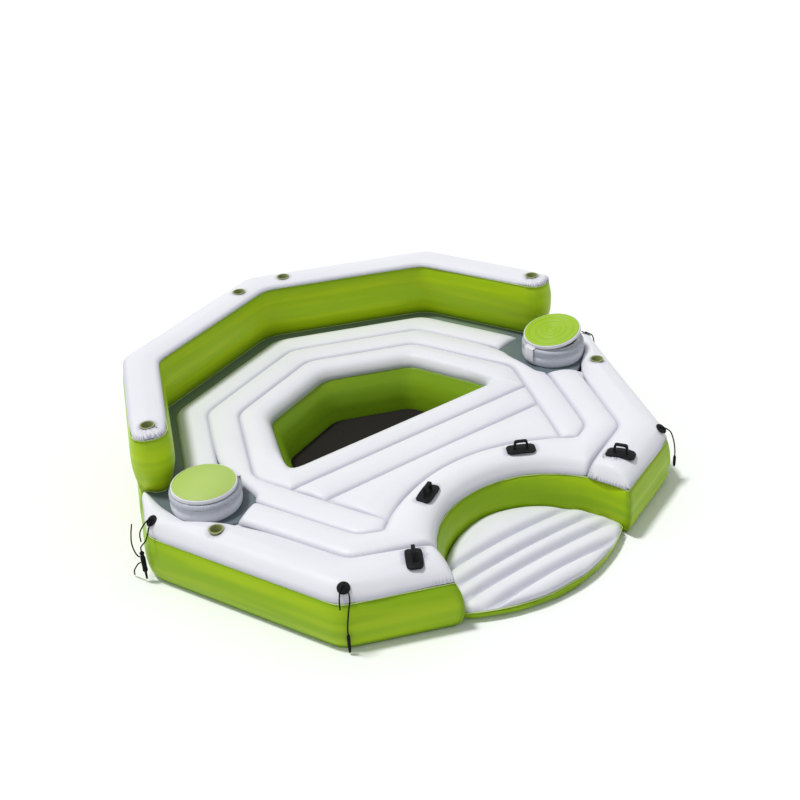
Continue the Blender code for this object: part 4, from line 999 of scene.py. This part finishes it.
# Cords, each through the route points that its solid has, seen from the octagon's centre. A tip is the small
# part that a cord ends in
cordLook = {
    "fromCentre": -0.0538,
    "radius": 0.0045,
    "roundness": 3,
    "step": 0.012,
    "samples": 24,
    "routes": {
        "cord_front_left": [
            (-1.352, -1.377, 0.335), (-1.347, -1.368, 0.375), (-1.3165, -1.3312, 0.41), (-1.2775, -1.3117, 0.4346),
            (-1.275, -1.3552, 0.41), (-1.289, -1.387, 0.375), (-1.305, -1.394, 0.323), (-1.318, -1.393, 0.25),
            (-1.326, -1.392, 0.18), (-1.326, -1.392, 0.148),
        ],
        "cord_front_right": [
            (1.2775, -1.3117, 0.4346), (1.3165, -1.3312, 0.41), (1.354, -1.338, 0.37), (1.382, -1.34, 0.3),
            (1.38, -1.354, 0.26), (1.372, -1.368, 0.222), (1.372, -1.368, 0.19),
        ],
        "cord_side_left": [
            (-1.936, -0.004, 0.312), (-1.924, 0.016, 0.367), (-1.8712, 0.024, 0.417), (-1.8356, 0.0, 0.4427),
            (-1.8712, -0.026, 0.417), (-1.907, -0.058, 0.378), (-1.92, -0.044, 0.335), (-1.938, -0.008, 0.285),
            (-1.944, 0.002, 0.268), (-1.944, 0.002, 0.2385), (-1.944, 0.002, 0.13), (-1.944, 0.002, 0.03),
        ],
        "cord_side_left_rear": [
            (-1.956, 0.0124, 0.195), (-1.965, 0.022, 0.2), (-1.97, 0.055, 0.222), (-1.964, 0.095, 0.262),
            (-1.935, 0.15, 0.295), (-1.9, 0.21, 0.31),
        ],
        "cord_side_left_low": [
            (-1.9594, 0.0136, 0.15), (-1.969, 0.022, 0.145), (-1.978, 0.055, 0.105), (-1.985, 0.092, 0.05),
            (-1.984, 0.1, 0.012),
        ],
        "cord_side_right": [
            (1.8356, 0.0, 0.4427), (1.8712, 0.0, 0.417), (1.906, 0.004, 0.39), (1.931, 0.008, 0.34),
            (1.938, 0.006, 0.26), (1.937, 0.0, 0.18),
        ],
    },
    "tips": {
        "cord_front_left": "rope_end_front_left",
        "cord_front_right": "rope_end_front_right",
        "cord_side_left": "knot_side_left",
    },
}


def smoothLine(points, step, samples):
    # A smooth curve through the points, in even steps, and its length
    places = [Vector(point) for point in points]
    padded = [places[0] * 2 - places[1], *places, places[-1] * 2 - places[-2]]
    dense = []
    for a, b, c, d in zip(padded, padded[1:], padded[2:], padded[3:]):
        for index in range(samples):
            t = index / samples
            line = 2 * b + (c - a) * t + (2 * a - 5 * b + 4 * c - d) * t ** 2 + (3 * b - a - 3 * c + d) * t ** 3
            dense.append(line / 2)
    dense.append(places[-1])
    lengths = [(q - p).length for p, q in zip(dense, dense[1:])]
    whole = sum(lengths)
    count = max(2, round(whole / step))
    line = [dense[0]]
    travelled = 0.0
    for point, length in zip(dense[1:], lengths):
        travelled += length
        if travelled >= whole * len(line) / count:
            line.append(point)
    return line[:count] + [dense[-1]], whole


def addCord(name, route, look):
    shifted = [(x, y + look["fromCentre"], z) for x, y, z in route]
    line, length = smoothLine(shifted, look["step"], look["samples"])
    curve = bpy.data.curves.new(name + "_line", "CURVE")
    curve.dimensions = "3D"
    curve.bevel_depth = look["radius"]
    curve.bevel_resolution = look["roundness"]
    curve.use_fill_caps = True
    spline = curve.splines.new("POLY")
    spline.points.add(len(line) - 1)
    for point, place in zip(spline.points, line):
        point.co = (*place, 1.0)
    cord = linked(name + "_line", curve)
    settle(cord, "cord", "black_cord", name)


for cordName, cordRoute in cordLook["routes"].items():
    addCord(cordName, cordRoute, cordLook)
print("cords laid:", len(cordLook["routes"]))

# Valves: a welded ring round each flange and a pull bar across each cap
valveLook = {
    "valves": {"hull_valve": (0.6845, 1.5988, 0.1517), "backrest_valve": (0.6826, 1.5941, 0.5793)},
    "out": (0.383, 0.924, 0.0),
    "ringRadius": 0.0345,
    "ringThick": 0.0022,
    "ringDown": -0.0062,
    "ringSections": 64,
    "ringSides": 10,
    "bar": (0.007, 0.034, 0.004),
    "barRise": 0.0128,
    "barBevel": 0.0012,
    "barSegments": 3,
    "smoothAngle": 40,
}


def addValveTrim(name, place, look):
    facing = Vector(look["out"]).to_track_quat("Z", "Y").to_matrix().to_4x4()
    onWall = Matrix.Translation(place) @ facing
    nothingSelected()
    bpy.ops.mesh.primitive_torus_add(
        major_segments=look["ringSections"], minor_segments=look["ringSides"], major_radius=look["ringRadius"],
        minor_radius=look["ringThick"], location=(0, 0, look["ringDown"]))
    ring = newShape(name + "_ring")
    ring.data.transform(onWall)
    shadeSmooth(look["smoothAngle"])
    settle(ring, "grey", "grey_plastic")
    nothingSelected()
    bpy.ops.mesh.primitive_cube_add(size=1.0, location=(0, 0, look["barRise"]))
    bar = newShape(name + "_cap_bar", look["bar"])
    inEdit(bar, "EDGE")
    bpy.ops.mesh.select_all(action="SELECT")
    bpy.ops.mesh.bevel(offset=look["barBevel"], segments=look["barSegments"])
    leaveEdit()
    bar.data.transform(onWall)
    shadeSmooth(look["smoothAngle"])
    settle(bar, "grey", "grey_plastic", body=name + "_cap")


for valveName, valvePlace in valveLook["valves"].items():
    addValveTrim(valveName, valvePlace, valveLook)
print("valves trimmed:", len(valveLook["valves"]))

# Solids that keep their shape get their finish
keptSolids = {"cooler_lid_plug": "dark", "cooler_pot": "lid", "web": "lid"}
for nodeName, node in cadNodes.items():
    for start, colourName in keptSolids.items():
        if nodeName.startswith(start):
            node.data.materials.clear()
            node.data.materials.append(finishes[colourName])
            break
print("finishes given")
